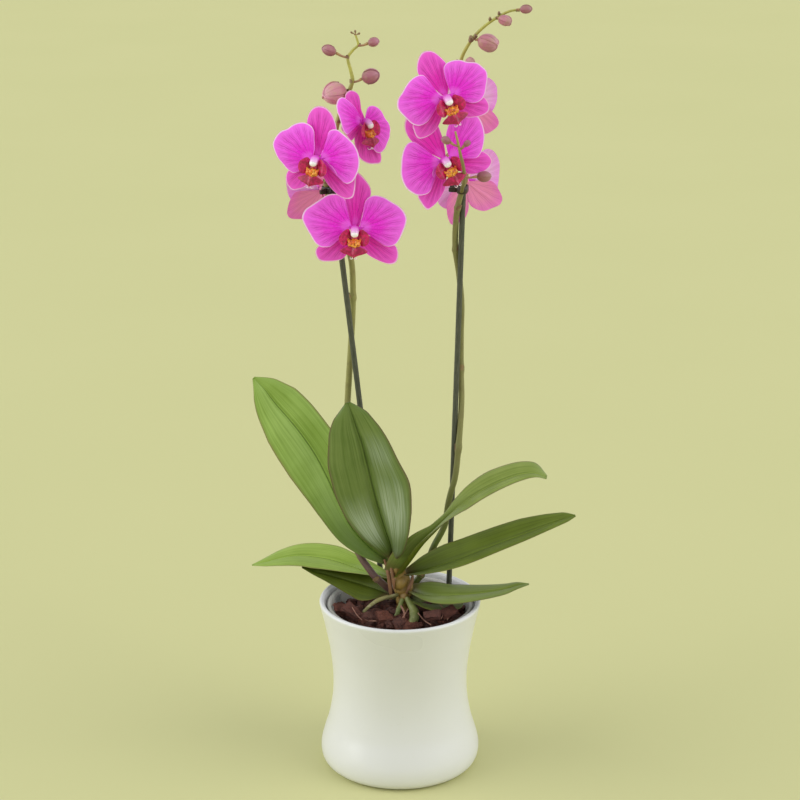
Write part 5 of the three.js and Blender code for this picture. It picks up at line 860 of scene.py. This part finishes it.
    # callus: two knobs and a ridge each side
    Bt = Build()
    knob = lambda th, ph: 1 + 0.12 * math.sin(5 * ph + 9 * th) + 0.08 * math.sin(11 * ph)
    ellipsoid(Bt, (0, -9.4, 7.6), (4.6, 3.1, 3.0), None, 26, 18, 1, knob)
    ellipsoid(Bt, (-2.7, -10.2, 9.0), (2.5, 2.1, 2.0), None, 18, 12, 1, knob)
    ellipsoid(Bt, (2.7, -10.2, 9.0), (2.5, 2.1, 2.0), None, 18, 12, 1, knob)
    ellipsoid(Bt, (0, -12.0, 8.8), (1.9, 1.7, 1.6), None, 16, 10, 1, knob)
    tube(Bt, [(-5.0, -6.8, 6.6), (-3.2, -9.2, 9.2), (-0.6, -12.0, 10.0)], [1.0, 1.3, 0.9], 10, 12, 1)
    tube(Bt, [(5.0, -6.8, 6.6), (3.2, -9.2, 9.2), (0.6, -12.0, 10.0)], [1.0, 1.3, 0.9], 10, 12, 1)
    o = 0
    B.add(place(np.concatenate(Bt.v)), Bt.f, 1, s=0.5, t=0.5, tone=0.0)
    # column with its hood and anther cap
    Bt = Build()
    hood = lambda t, a: 1.0 + 0.10 * math.cos(2 * a) + 0.06 * math.sin(6 * t)
    tube(Bt, [(0, 1.8, 1.9), (0, 1.7, 4.4), (0, 0.8, 6.6), (0, -1.2, 8.4)], [2.7, 2.8, 3.1, 3.1], 22, 22, bumps=hood)
    tt = np.concatenate(Bt.a["t"])
    B.add(place(np.concatenate(Bt.v)), Bt.f, 2, s=0.5, t=tt * 0.72, tone=0.0)
    Bt = Build()
    E = [(1, 0, 0), unit(np.array([0, -0.72, 0.69])), unit(np.array([0, 0.69, 0.72]))]
    ellipsoid(Bt, (0, -2.0, 8.9), (3.15, 2.8, 2.6), E, 22, 14, 2)
    B.add(place(np.concatenate(Bt.v)), Bt.f, 2, s=0.5, t=1.0, tone=0.0)
    B.make("visual_" + label + "_lip", [MATS["lip"], MATS["callus"], MATS["column"]], [label + "_lip"])


# ---------------------------------------------------------------- buds, stalks and spikes
def axis_frame(y):
    y = unit(np.array(y, float))
    x = unit(np.cross(y, np.array([0.0, 0, 1]) if abs(y[2]) < 0.9 else np.array([1.0, 0, 0])))
    z = np.cross(x, y)
    return [x, y, z]


def make_bud(name, b, seed, dark=0.0):
    rnd = random.Random(seed)
    c, a = np.array(b["centre"]), np.array(b["from"])
    E = axis_frame(c - a)
    spin = rnd.uniform(0, 6.28)
    def shape(th, ph):
        ridge = abs(math.sin(1.5 * (ph + spin)))
        r = 0.965 + 0.05 * ridge ** 0.7 * math.sin(math.pi * th)
        pinch = 1.0 - 0.10 * max(0.0, th - 0.55) * abs(math.cos(1.5 * (ph + spin)))
        return r * pinch
    B = Build()
    ellipsoid(B, c, (b["radius"], b["half"], b["radius"] * 0.93), E, 42, 30, 0, shape, tone=dark)
    # raised keels of the outer sepals near the tip
    for k in range(3):
        ph = 2 * math.pi * k / 3 + spin
        dirn = E[0] * math.cos(ph) + E[2] * math.sin(ph)
        path = []
        for q in (0.35, 0.55, 0.75, 0.9, 1.0):
            th = math.pi * q
            path.append(c + E[1] * (-math.cos(th) * b["half"] * 0.985) + dirn * (math.sin(th) * b["radius"] * 0.975))
        tube(B, path, [0.1 * b["radius"] * 0.6, 0.07 * b["radius"], 0.075 * b["radius"], 0.07 * b["radius"], 0.05 * b["radius"]], 8, 18, 0, tone=dark)
    B.make("visual_" + name, [MATS["bud"]], [name])


def stalk_paths(d):
    right, up, face = flower_frame(d)
    end = np.array(d["hub"]) - face * (3.3 * d["scale"] + 0.35)
    start = np.array(d["start"])
    span = float(np.linalg.norm(end - start))
    reach = end - face * (0.42 * span)
    lift = start + (end - start) * 0.35 + np.array([0, 0, 0.14 * span])
    return [start, (lift + reach) / 2, end]


def make_spike(name, d, flowers, buds, branch, mat, nodes, seed):
    B = Build()
    rnd = random.Random(seed)
    P = np.array(d["path"])
    marks = []
    ts = np.linspace(0, 1, 600)
    C = curve_at(P, ts)
    for n in nodes:
        marks.append(float(ts[int(np.argmin(((C - np.array(n)) ** 2).sum(1)))]))
    def swell(t, a):
        return 1 + sum(0.30 * math.exp(-((t - m) / 0.0035) ** 2) for m in marks) + 0.02 * math.sin(3 * a + 40 * t)
    tube(B, P, d["radii"], 18, 300, 0, bumps=swell, tone=0.0)
    if branch:
        tube(B, branch["path"], branch["radii"], 14, 60, 0, tone=0.25)
    for f in flowers:
        tube(B, stalk_paths(FLOWERS[f]), [1.55, 1.25, 1.25, 1.3, 1.75], 14, 30, 0, tone=1.0)
    for b in buds:
        a, c = np.array(b["from"]), np.array(b["centre"])
        ax = unit(c - a)
        end = c - ax * (b["half"] + 0.45)
        mid = (a + end) / 2 + np.array([0, 0, -0.6])
        tube(B, [a, mid, end], [1.15, 0.85, 0.95, 1.25], 12, 14, 0, tone=0.9)
    if name.endswith("left"):
        tip = P[-1]
        for k, (dx, dz) in enumerate(((-3.2, 2.4), (-0.4, 3.4), (2.6, 1.6))):
            c = tip + np.array([dx, 0, dz])
            tube(B, [tip, (tip + c) / 2 + np.array([0, 0, 0.3]), c], [0.5, 0.45, 0.5], 8, 8, 0, tone=0.6)
            ellipsoid(B, c, (0.95, 1.25, 0.9), axis_frame(c - tip), 12, 8, 1)
    else:
        for (m0, off, ra) in SWELLS:
            ellipsoid(B, np.array(m0) + np.array(off), ra, None, 16, 10, 1, lambda th, ph: 1 + 0.12 * math.sin(3 * ph + 5 * th))
    # bracts: small scales hugging the stalk at its nodes and at each side stalk
    spots = [(m, 5.2, 1.0) for m in marks]
    for f in flowers:
        m = float(ts[int(np.argmin(((C - np.array(FLOWERS[f]["start"])) ** 2).sum(1)))])
        spots.append((m, 3.6, 0.8))
    for b in buds[:4]:
        m = float(ts[int(np.argmin(((C - np.array(b["from"])) ** 2).sum(1)))])
        spots.append((m, 3.0, 0.9))
    for k, (m, long, wide) in enumerate(spots):
        c = curve_at(P, [m])[0]
        T = tangents(P, [m])[0]
        r = float(np.interp(m * (len(d["radii"]) - 1), np.arange(len(d["radii"])), d["radii"]))
        E = axis_frame(T)
        a0 = rnd.uniform(0, 6.28) if k % 2 else math.atan2(E[2][1], E[0][1]) + math.pi + rnd.uniform(-0.8, 0.8)
        rows, cols = 8, 10
        top, bot = [], []
        for i in range(rows + 1):
            u = i / rows
            w = 1.25 * wide * math.sqrt(max(0.0, 1 - u ** 1.8)) + 0.05
            ra, rb = [], []
            for j in range(cols + 1):
                q = (j / cols * 2 - 1) * w
                out = r + 0.35 + 0.5 * u * u
                dr = E[0] * math.cos(a0 + q) + E[2] * math.sin(a0 + q)
                ra.append(c + T * (long * u - 1.0) + dr * (out + 0.22))
                rb.append(c + T * (long * u - 1.0) + dr * (out - 0.06))
            top.append(ra); bot.append(rb)
        V = [p for q in top for p in q] + [p for q in bot for p in q]
        B.add(V, sheet_faces(rows + 1, cols + 1), 1, t=0.5, tone=0.0)
    return B.make("visual_" + name, [mat, MATS["bract"]], [name])


# ---------------------------------------------------------------- pot
def lathe(B, profile, sides, mat=0, refine=4):
    P = np.array([(r, 0.0, z) for r, z in profile])
    n = (len(P) - 1) * refine
    C = curve_at(P, [i / n for i in range(n + 1)])
    C[:, 0] = np.maximum(C[:, 0], 0)
    C[0, 0] = C[-1, 0] = 0.0
    V, F = [np.array([0, 0, C[0, 2]])], []
    for i in range(1, n):
        for k in range(sides):
            a = 2 * math.pi * k / sides
            V.append(np.array([C[i, 0] * math.cos(a), C[i, 0] * math.sin(a), C[i, 2]]))
    V.append(np.array([0, 0, C[-1, 2]]))
    for k in range(sides):
        q = (k + 1) % sides
        F.append((0, 1 + q, 1 + k))
        for i in range(n - 2):
            a = 1 + i * sides
            F.append((a + k, a + q, a + sides + q, a + sides + k))
        a = 1 + (n - 2) * sides
        F.append((len(V) - 1, a + k, a + q))
    B.add(V, F, mat)


def make_cover_pot():
    B = Build()
    prof = [(r, max(0.0, z)) for r, z in POT_PROFILE]
    lathe(B, prof, 144, 0, 3)
    ob = B.make("visual_cover_pot", [MATS["glaze"]], ["cover_pot"])
    me = ob.data
    co = np.empty(len(me.vertices) * 3)
    me.vertices.foreach_get("co", co)
    co = co.reshape(-1, 3)
    co[:, 2] = np.maximum(co[:, 2], 0)
    me.vertices.foreach_set("co", co.reshape(-1))
    me.update()
    return ob


GROW_B, GROW_T, GROW_RB, GROW_K, GROW_W = 8.8, 149.0, 45.0, 0.115, 1.1


def make_grow_pot():
    """Thin wall with real slots near the rim and a drain hole, a rolled flange, and shallow moulded rings."""
    N = 192
    zs = list(np.linspace(GROW_B + 3, 137.5, 40)) + [138.5, 139.5, 140.5, 141.5, 142.5, 143.5, 144.5, 145.5] + [146.4, 147.2]
    B = Build()
    V, F = [], []
    def ring(r, z, wob=0.0):
        o = len(V)
        for k in range(N):
            a = 2 * math.pi * k / N
            V.append(np.array([r * math.cos(a), r * math.sin(a), z]))
        return o
    rad = lambda z: GROW_RB + (z - GROW_B) * GROW_K
    step = lambda z: 0.35 * math.sin(z * 0.42) if z > 100 else 0.0
    outer = [ring(rad(z) + min(0.0, step(z)), z) for z in zs]
    inner = [ring(rad(z) + min(0.0, step(z)) - GROW_W, z) for z in zs]
    hole = set()
    for i in range(len(zs) - 1):
        if 138.5 <= zs[i] and zs[i + 1] <= 145.5:
            for h in range(8):
                mid = int(round(N * ((h + 0.5) / 8.0 + 0.25))) % N
                for k in range(-3, 4):
                    if abs(k) <= 3:
                        hole.add((i, (mid + k) % N))
    def quad(a, b, c, d):
        F.append((a, b, c, d))
    for i in range(len(zs) - 1):
        for k in range(N):
            q = (k + 1) % N
            if (i, k) in hole:
                for (di, dk, p1, p2) in ((1, 0, 'top', 0), (-1, 0, 'bot', 0), (0, 1, 'r', 0), (0, -1, 'l', 0)):
                    if (i + di, (k + dk) % N) in hole:
                        continue
                    if p1 == 'top': quad(outer[i + 1] + k, outer[i + 1] + q, inner[i + 1] + q, inner[i + 1] + k)
                    if p1 == 'bot': quad(outer[i] + q, outer[i] + k, inner[i] + k, inner[i] + q)
                    if p1 == 'r': quad(outer[i + 1] + q, outer[i] + q, inner[i] + q, inner[i + 1] + q)
                    if p1 == 'l': quad(outer[i] + k, outer[i + 1] + k, inner[i + 1] + k, inner[i] + k)
                continue
            quad(outer[i] + k, outer[i] + q, outer[i + 1] + q, outer[i + 1] + k)
            quad(inner[i] + q, inner[i] + k, inner[i + 1] + k, inner[i + 1] + q)
    def band(a, b):
        for k in range(N):
            q = (k + 1) % N
            quad(a + k, a + q, b + q, b + k)
    top = [ring(61.0, 147.5), ring(62.4, 147.4), ring(63.0, 147.7), ring(63.2, 148.3), ring(62.9, 148.8), ring(62.2, 149.0), ring(60.8, 149.0), ring(60.1, 148.5)]
    prev = outer[-1]
    for r in top:
        band(prev, r); prev = r
    band(prev, inner[-1])
    low = [ring(44.4, GROW_B + 1.2), ring(42.0, GROW_B), ring(9.0, GROW_B), ring(9.0, GROW_B + GROW_W), ring(41.2, GROW_B + GROW_W), ring(43.6, GROW_B + 2.4)]
    prev = low[0]
    band(low[0], outer[0])
    for a, b in ((1, 0), (2, 1), (3, 2), (4, 3), (5, 4)):
        band(low[a], low[b])
    band(inner[0], low[5])
    B.add(V, F, 0)
    return B.make("visual_grow_pot", [MATS["clear"]], ["grow_pot"])


BARK_EDGE, BARK_CROWN = 136.0, 144.0


def bark_height(x, y):
    r = math.hypot(x, y)
    m = BARK_EDGE + (BARK_CROWN - BARK_EDGE) * math.exp(-((r / 34) ** 2))
    return m + 1.7 * math.sin(x * 0.31 + 1.3) * math.cos(y * 0.27 - 0.6) + 1.1 * math.sin(x * 0.11 - y * 0.47)


def chip(B, c, size, rnd, tone, rot=None):
    """A broken bark chip: a flat slab with uneven corners, split layers and rounded edges."""
    if rot is None:
        rot = (rnd.uniform(-0.75, 0.75), rnd.uniform(-0.6, 0.6), rnd.uniform(0, 6.28))
    cx, sx, cy, sy, cz, sz = math.cos(rot[0]), math.sin(rot[0]), math.cos(rot[1]), math.sin(rot[1]), math.cos(rot[2]), math.sin(rot[2])
    R = np.array([[cz, -sz, 0], [sz, cz, 0], [0, 0, 1]]) @ np.array([[cy, 0, sy], [0, 1, 0], [-sy, 0, cy]]) @ np.array([[1, 0, 0], [0, cx, -sx], [0, sx, cx]])
    n = 3
    skew = [(1 + rnd.uniform(-0.34, 0.12), 1 + rnd.uniform(-0.34, 0.12)) for _ in range(4)]
    lift = [rnd.uniform(-0.3, 0.3) for _ in range(4)]
    V, idx, F, g = [], {}, [], []
    def vert(i, j, k):
        key = (i, j, k)
        if key in idx:
            return idx[key]
        u, v, w = i / n * 2 - 1, j / n * 2 - 1, k / 2 * 2 - 1
        q = ((1 - u) * (1 - v) / 4, (1 + u) * (1 - v) / 4, (1 + u) * (1 + v) / 4, (1 - u) * (1 + v) / 4)
        a = sum(s[0] * x for s, x in zip(skew, q))
        b = sum(s[1] * x for s, x in zip(skew, q))
        z = w * (1 - 0.25 * (abs(u) ** 4 + abs(v) ** 4) / 2) + sum(l * x for l, x in zip(lift, q))
        p = np.array([u * a, v * b, z]) * np.array(size) / 2
        p = p + np.array([rnd.uniform(-1, 1) * 0.05 * size[0], rnd.uniform(-1, 1) * 0.05 * size[1], rnd.uniform(-1, 1) * 0.10 * size[2]])
        idx[key] = len(V)
        g.append(v * 0.5 + 0.1 * w)
        V.append(np.array(c) + R @ p)
        return idx[key]
    for i in range(n):
        for j in range(n):
            F.append((vert(i, j, 2), vert(i + 1, j, 2), vert(i + 1, j + 1, 2), vert(i, j + 1, 2)))
            F.append((vert(i, j, 0), vert(i, j + 1, 0), vert(i + 1, j + 1, 0), vert(i + 1, j, 0)))
        for k in range(2):
            F.append((vert(i, 0, k), vert(i + 1, 0, k), vert(i + 1, 0, k + 1), vert(i, 0, k + 1)))
            F.append((vert(i + 1, n, k), vert(i, n, k), vert(i, n, k + 1), vert(i + 1, n, k + 1)))
            F.append((vert(0, i + 1, k), vert(0, i, k), vert(0, i, k + 1), vert(0, i + 1, k + 1)))
            F.append((vert(n, i, k), vert(n, i + 1, k), vert(n, i + 1, k + 1), vert(n, i, k + 1)))
    B.add(V, F, 0, tone=tone, grain=np.array(g) + rnd.uniform(0, 4))


def make_bark():
    B = Build()
    edge = GROW_RB + (BARK_EDGE - 5 - GROW_B) * GROW_K - GROW_W - 0.6
    sides, rings = 72, 22
    V = [np.array([0, 0, bark_height(0, 0) - 1.5])]
    for i in range(1, rings + 1):
        r = edge * i / rings
        for k in range(sides):
            a = 2 * math.pi * k / sides
            x, y = r * math.cos(a), r * math.sin(a)
            V.append(np.array([x, y, bark_height(x, y) - 1.6 + 0.9 * math.sin(x * 1.1) * math.sin(y * 1.3)]))
    low = GROW_B + GROW_W + 4.2
    foot = GROW_RB + (low - GROW_B) * GROW_K - GROW_W - 0.8
    for k in range(sides):
        a = 2 * math.pi * k / sides
        V.append(np.array([foot * math.cos(a), foot * math.sin(a), low]))
    V.append(np.array([0, 0, low]))
    F = [(0, 1 + k, 1 + (k + 1) % sides) for k in range(sides)]
    for i in range(rings):
        for k in range(sides):
            q = (k + 1) % sides
            a, b = 1 + i * sides, 1 + (i + 1) * sides
            F.append((a + k, b + k, b + q, a + q))
    last = 1 + rings * sides
    F += [(last + k, len(V) - 1, last + (k + 1) % sides) for k in range(sides)]
    B.add(V, F, 0, tone=0.12, grain=0.3)
    rnd = random.Random(11)
    stem = np.array([4.3, 4.0])
    placed = []
    for c, size, tone, rot in BIG_CHIPS:
        chip(B, c, size, rnd, tone, rot)
        placed.append((c[0], c[1], max(size[0], size[1]) * 0.4))
    tries = 0
    while len(placed) < 150 and tries < 6000:
        tries += 1
        r, a = 53.5 * math.sqrt(rnd.random()), rnd.uniform(0, 2 * math.pi)
        x, y = r * math.cos(a), r * math.sin(a)
        if math.hypot(x - stem[0], y - stem[1]) < 11:
            continue
        size = (rnd.uniform(8, 18), rnd.uniform(5, 10), rnd.uniform(2.6, 5.6))
        rad = 0.33 * (size[0] + size[1]) / 2 + 0.5
        if any(math.hypot(x - px, y - py) < (rad + pr) * 0.72 for px, py, pr in placed):
            continue
        if r + size[0] * 0.45 > 57.5:
            continue
        z = bark_height(x, y) - 1.0 + rnd.uniform(-0.8, 1.2)
        chip(B, (x, y, z), size, rnd, min(1.0, max(0.0, rnd.gauss(0.42, 0.26))))
        placed.append((x, y, rad))
    # crumbs
    for _ in range(170):
        r, a = 55 * math.sqrt(rnd.random()), rnd.uniform(0, 2 * math.pi)
        x, y = r * math.cos(a), r * math.sin(a)
        if math.hypot(x - stem[0], y - stem[1]) < 9:
            continue
        s = rnd.uniform(1.2, 3.2)
        chip(B, (x, y, bark_height(x, y) - 0.2 + rnd.uniform(0, 1.2)), (s * 1.5, s, s * 0.6), rnd, rnd.uniform(0.1, 0.8))
    for path, r in TWIGS:
        tube(B, path, r, 8, 24, 1, tone=0.5, grain=0.0)
    return B.make("visual_bark_mix", [MATS["bark"], MATS["twig"]], ["bark_mix"], smooth=False)


# ---------------------------------------------------------------- stem, roots, stakes, clips
def make_stem():
    B = Build()
    P = [p[:3] for p in STEM_POINTS]
    R = [p[3] for p in STEM_POINTS]
    ring = lambda t, a: 1 + 0.07 * math.sin(t * 34) + 0.05 * math.sin(3 * a + 5 * t) + 0.03 * math.sin(7 * a - 9 * t)
    tube(B, P, R, 32, 80, 0, bumps=ring)
    for c, ax, E in STEM_KNOBS:
        ellipsoid(B, c, ax, axis_frame(E), 26, 18, 0, lambda th, ph: 1 + 0.06 * math.sin(2 * ph + 4 * th) + 0.04 * math.sin(5 * ph))
    for path, radii, sq in STEM_SHEATHS:
        tube(B, path, radii, 16, 40, 1, squash=sq, bumps=lambda t, a: 1 + 0.10 * math.sin(4 * a + 6 * t) + 0.05 * math.sin(9 * a))
    return B.make("visual_stem", [MATS["stem"], MATS["sheath"]], ["stem"])


def make_root(name, d, mat, seed):
    rnd = random.Random(seed)
    p1, p2 = rnd.uniform(0, 6), rnd.uniform(0, 6)
    B = Build()
    wave = lambda t, a: 1 + 0.07 * math.sin(9 * t + p1) + 0.05 * math.sin(21 * t + p2 + a) + 0.03 * math.sin(2 * a + 5 * t)
    slim = {"root_1_left": 0.72, "root_2_front": 0.76}.get(name, 1.0)
    tube(B, d["path"], [r * slim for r in d["radii"]], 20, 60, 0, bumps=wave)
    return B.make("visual_" + name, [mat], [name])


def make_stake(name, d):
    B = Build()
    a, b = np.array(d["bottom"]), np.array(d["top"])
    wave = lambda t, an: 1 + 0.012 * math.sin(60 * t) + 0.012 * math.sin(3 * an + 11 * t)
    ax = unit(b - a)
    tube(B, [a + ax * 1.2, a + (b - a) * 0.33, a + (b - a) * 0.66, b - ax * 1.6], [2.36, 2.36], 22, 80, 0, bumps=wave)
    return B.make("visual_" + name, [MATS["stake"]], [name])


def make_clip(name, centre, angle, spread, tabs):
    """Spring clip: a rounded band round stake and stalk, with two ribbed tabs."""
    B = Build()
    c = np.array(centre)
    inner, outer, high = 3.2, 4.5, 5.8
    N = 72
    loop = []
    for k in range(N):
        u = k / N * 2 * math.pi
        x = math.cos(u); y = math.sin(u)
        off = spread if x > 0 else -spread
        loop.append((off * min(1, abs(x) * 6), x, y))
    prof = [(inner, -high / 2 + 0.4), (inner + 0.3, -high / 2), (outer - 0.4, -high / 2), (outer, -high / 2 + 0.5), (outer, high / 2 - 0.5), (outer - 0.4, high / 2), (inner + 0.3, high / 2), (inner, high / 2 - 0.4)]
    ca, sa = math.cos(angle), math.sin(angle)
    V, F = [], []
    for off, x, y in loop:
        for r, z in prof:
            px, py = off + r * x, r * y
            V.append(c + np.array([px * ca - py * sa, px * sa + py * ca, z]))
    m = len(prof)
    for k in range(N):
        q = (k + 1) % N
        for j in range(m):
            h = (j + 1) % m
            F.append((k * m + j, q * m + j, q * m + h, k * m + h))
    B.add(V, F, 0)
    for turn in (-1, 1):
        t = tabs + turn * 0.26
        d = np.array([math.cos(t), math.sin(t), 0.0])
        sdir = np.array([-math.sin(t), math.cos(t), 0.0]) * turn
        top, bot = [], []
        rows, cols = 14, 8
        for i in range(rows + 1):
            u = i / rows
            x = 3.9 + 7.9 * u
            bend = 0.6 + 0.9 * u * u
            w = 2.3 * (1 - 0.25 * u ** 3)
            ra, rb = [], []
            for j in range(cols + 1):
                q = (j / cols * 2 - 1)
                z = q * w * math.sqrt(max(0.05, 1 - max(0, u - 0.86) ** 2 * 20))
                rib = 0.14 * (math.sin(u * 40) > 0.2) * (0.3 < u < 0.9)
                base = c + d * x + sdir * bend + np.array([0, 0, z])
                ra.append(base + sdir * (0.62 + rib))
                rb.append(base - sdir * 0.62)
            top.append(ra); bot.append(rb)
        V = [p for r in top for p in r] + [p for r in bot for p in r]
        B.add(V, sheet_faces(rows + 1, cols + 1), 0)
    return B.make("visual_" + name, [MATS["clip"]], [name])


# ---------------------------------------------------------------- make everything
BIG_CHIPS = [
    ((-14.63, -22, 144.75), (14, 12, 5), 0.75, (0.55, 0.15, 0.5)),
    ((-50.22, -10, 147.03), (17, 9, 4), 0.6, (0.5, 0.35, 0.25)),
    ((-41.33, -20, 149.48), (15, 10, 5), 0.4, (0.4, 0.5, -0.4)),
    ((0, -44, 149.75), (13, 9, 4), 0.3, (0.5, 0, 0.9)),
    ((27.35, -34, 150.92), (16, 10, 5), 0.35, (0.45, -0.2, -0.2)),
    ((42.05, -26, 151.16), (14, 9, 4), 0.5, (0.3, -0.35, 0.4)),
    ((-27.36, -33, 150.48), (12, 8, 4), 0.3, (0.5, 0.2, 1.2)),
    ((20.75, -12, 150.7), (13, 8, 4), 0.25, (0.3, -0.1, 0.1)),
]
TWIGS = [
    ([[6.89, -20, 151.35], [2.57, -30, 148.25], [-3.41, -40, 144.28]], [0.55, 0.5, 0.4]),
    ([[45.6, -20, 154.15], [43.77, -26, 150.23], [40.24, -32, 146.33]], [0.5, 0.45, 0.35]),
    ([[0.86, -24, 155.88], [3.43, -28, 152.02], [3.42, -36, 149.94]], [0.8, 0.7, 0.5]),
    ([[-32.48, -34, 149.99], [-27.3, -38, 148.5], [-20.45, -40, 148.91]], [0.5, 0.6, 0.45]),
    ([[-41.3, -20, 153.22], [-36.85, -29, 149.67], [-32.44, -37, 148.52]], [0.4, 0.45, 0.35]),
    ([[15.47, -24, 149.36], [20.54, -33, 146.77], [26.42, -41, 145.65]], [0.45, 0.45, 0.35]),
    ([[34.48, -16, 154.3], [37.8, -24, 151.22], [35.06, -34, 148.14]], [0.4, 0.45, 0.35]),
    ([[26.54, -30, 152.89], [30.74, -36, 150.87], [34.12, -38, 149.89]], [0.4, 0.4, 0.3]),
]
STEM_KNOBS = [
    ([0, 0, 168.09], (6.6, 7.2, 6.6), (0.12, 0, 1)),
    ([3.91, -1, 154.91], (5.2, 5.4, 5.0), (0, 0, 1)),
    ([-3.46, 0, 180.24], (5.6, 6.4, 5.4), (-0.2, 0, 1)),
    ([7.82, 2, 161.63], (4.4, 5.0, 4.4), (0.3, 0, 1)),
]
STEM_SHEATHS = [
    ([[-13.4, 0, 188.63], [-10.8, -3, 180.55], [-9.08, -4.5, 170.91], [-8.23, -4.5, 160.62], [-7.81, -4, 153.84]], [0.9, 1.5, 1.8, 1.6, 0.9], 0.6),
    ([[-8.63, -3, 187.06], [-6.47, -5.5, 178.78], [-5.62, -6, 170.6], [-5.19, -5.5, 163.85]], [0.9, 1.6, 1.5, 0.8], 0.6),
    ([[11.26, 0, 175.58], [9.96, -2.5, 169.14], [7.36, -4, 163.22], [5.2, -4, 158.53]], [0.9, 1.6, 1.5, 0.8], 0.6),
]
WORLD = (0.97, 0.985, 1.0, 0.54, 0.72)
LIGHTS = [
    dict(name="left", at=(-2.6, -0.5, 1.6), to=(0, 0, 0.3), power=1.25, spread=58.0),
    dict(name="right", at=(2.5, -1.0, 2.0), to=(0, 0, 0.3), power=0.95, spread=48.0, colour=(1.0, 0.99, 0.97)),
]
SWELLS = [
    ([56.96, 4, 636.92], (0, -0.8, 0), (2.2, 2.2, 3.0)),
    ([60.55, 4, 639.32], (0, -0.5, 0), (1.6, 1.6, 2.0)),
    ([71.97, 3, 652.61], (0, -0.4, 0.4), (1.3, 1.3, 1.8)),
    ([79.05, 2, 657.28], (0, -0.4, 0.4), (1.3, 1.3, 1.7)),
    ([46.74, 6, 618.15], (-0.6, -0.4, 0), (1.4, 1.4, 2.2)),
]

make_cover_pot()
make_grow_pot()
make_bark()
make_stem()
for i, (n, d) in enumerate(ROOTS.items()):
    make_root(n, d, MATS["root_green"] if i in (1, 2) else MATS["root"], 40 + i)
for i, n in enumerate(LEAVES):
    make_leaf(n, 70 + i)
make_spike("flower_spike_left", SPIKE_LEFT, ["a1", "a2", "a3", "a4"], BUDS_LEFT, None, MATS["spike"], NODES_LEFT, 5)
make_spike("flower_spike_right", SPIKE_RIGHT, ["b1", "b2", "b3", "b4"], BUDS_RIGHT + BUDS_BRANCH, BRANCH, MATS["spike_right"], NODES_RIGHT, 6)
make_stake("stake_left", STAKE_LEFT)
make_stake("stake_right", STAKE_RIGHT)
make_clip("clip_left", CLIPS["left"], -0.5, 2.9, -1.9)
make_clip("clip_right", CLIPS["right"], 1.4, 3.0, 3.0)
for i, b in enumerate(BUDS_LEFT):
    make_bud("bud_left_%d" % (i + 1), b, 20 + i, 0.0 if i == 0 else 0.7)
for i, b in enumerate(BUDS_RIGHT):
    make_bud("bud_right_%d" % (i + 1), b, 30 + i, 0.8 if i == 0 else 0.35)
for i, b in enumerate(BUDS_BRANCH):
    make_bud("bud_branch_%d" % (i + 1), b, 35 + i, 0.9)
for i, k in enumerate(("a1", "a2", "a3", "a4", "b1", "b2", "b3", "b4")):
    make_flower(k, ("flower_left_" if k[0] == "a" else "flower_right_") + k[1], 100 + i)

# ---------------------------------------------------------------- floor, light and camera
scene = bpy.context.scene
me = bpy.data.meshes.new("floor")
G = 12.0
me.from_pydata([(-G, -G, 0), (G, -G, 0), (G, G, 0), (-G, G, 0)], [], [(0, 1, 2, 3)])
me.materials.append(floor_material())
floor = bpy.data.objects.new("floor", me)
scene.collection.objects.link(floor)

world = bpy.data.worlds.new("studio")
world.use_nodes = True
wt = world.node_tree
bg = wt.nodes["Background"]
# light tent: brighter to the two sides; the camera itself sees the same green as the floor
geo = wt.nodes.new("ShaderNodeNewGeometry")
sep = wt.nodes.new("ShaderNodeSeparateXYZ")
wt.links.new(geo.outputs["Incoming"], sep.inputs[0])
sq = wt.nodes.new("ShaderNodeMath")
sq.operation = "MULTIPLY"
wt.links.new(sep.outputs[0], sq.inputs[0])
wt.links.new(sep.outputs[0], sq.inputs[1])
lin = wt.nodes.new("ShaderNodeMath")
lin.operation = "MULTIPLY_ADD"
lin.inputs[1].default_value = WORLD[4]
lin.inputs[2].default_value = WORLD[3]
wt.links.new(sq.outputs[0], lin.inputs[0])
wt.links.new(lin.outputs[0], bg.inputs[1])
bg.inputs[0].default_value = WORLD[:3] + (1.0,)
seen = wt.nodes.new("ShaderNodeBackground")
seen.inputs[0].default_value = srgb(207, 208, 154)[:3] + (1.0,)
path = wt.nodes.new("ShaderNodeLightPath")
pick = wt.nodes.new("ShaderNodeMixShader")
wt.links.new(path.outputs["Is Camera Ray"], pick.inputs[0])
wt.links.new(bg.outputs[0], pick.inputs[1])
wt.links.new(seen.outputs[0], pick.inputs[2])
wt.links.new(pick.outputs[0], wt.nodes["World Output"].inputs[0])
scene.world = world


def lamp(name, at, to, power, spread, colour=(1, 1, 1)):
    li = bpy.data.lights.new(name, "SUN")
    li.energy = power
    li.color = colour
    li.angle = math.radians(spread)
    ob = bpy.data.objects.new(name, li)
    ob.location = at
    ob.rotation_euler = (Vector(to) - Vector(at)).to_track_quat("-Z", "Y").to_euler()
    scene.collection.objects.link(ob)
    return ob


for args in LIGHTS:
    lamp(**args)

cam = bpy.data.cameras.new("camera")
cam.sensor_width = 36.0
cam.lens = 36.0 * 2157.0 / 800.0
cam.clip_start, cam.clip_end = 0.05, 60.0
cam_ob = bpy.data.objects.new("camera", cam)
cam_ob.location = (0.0, -1.732, 0.892)
cam_ob.rotation_euler = (math.radians(90 - 17.86), 0.0, 0.0)
scene.collection.objects.link(cam_ob)
scene.camera = cam_ob
scene.view_settings.view_transform = "Standard"
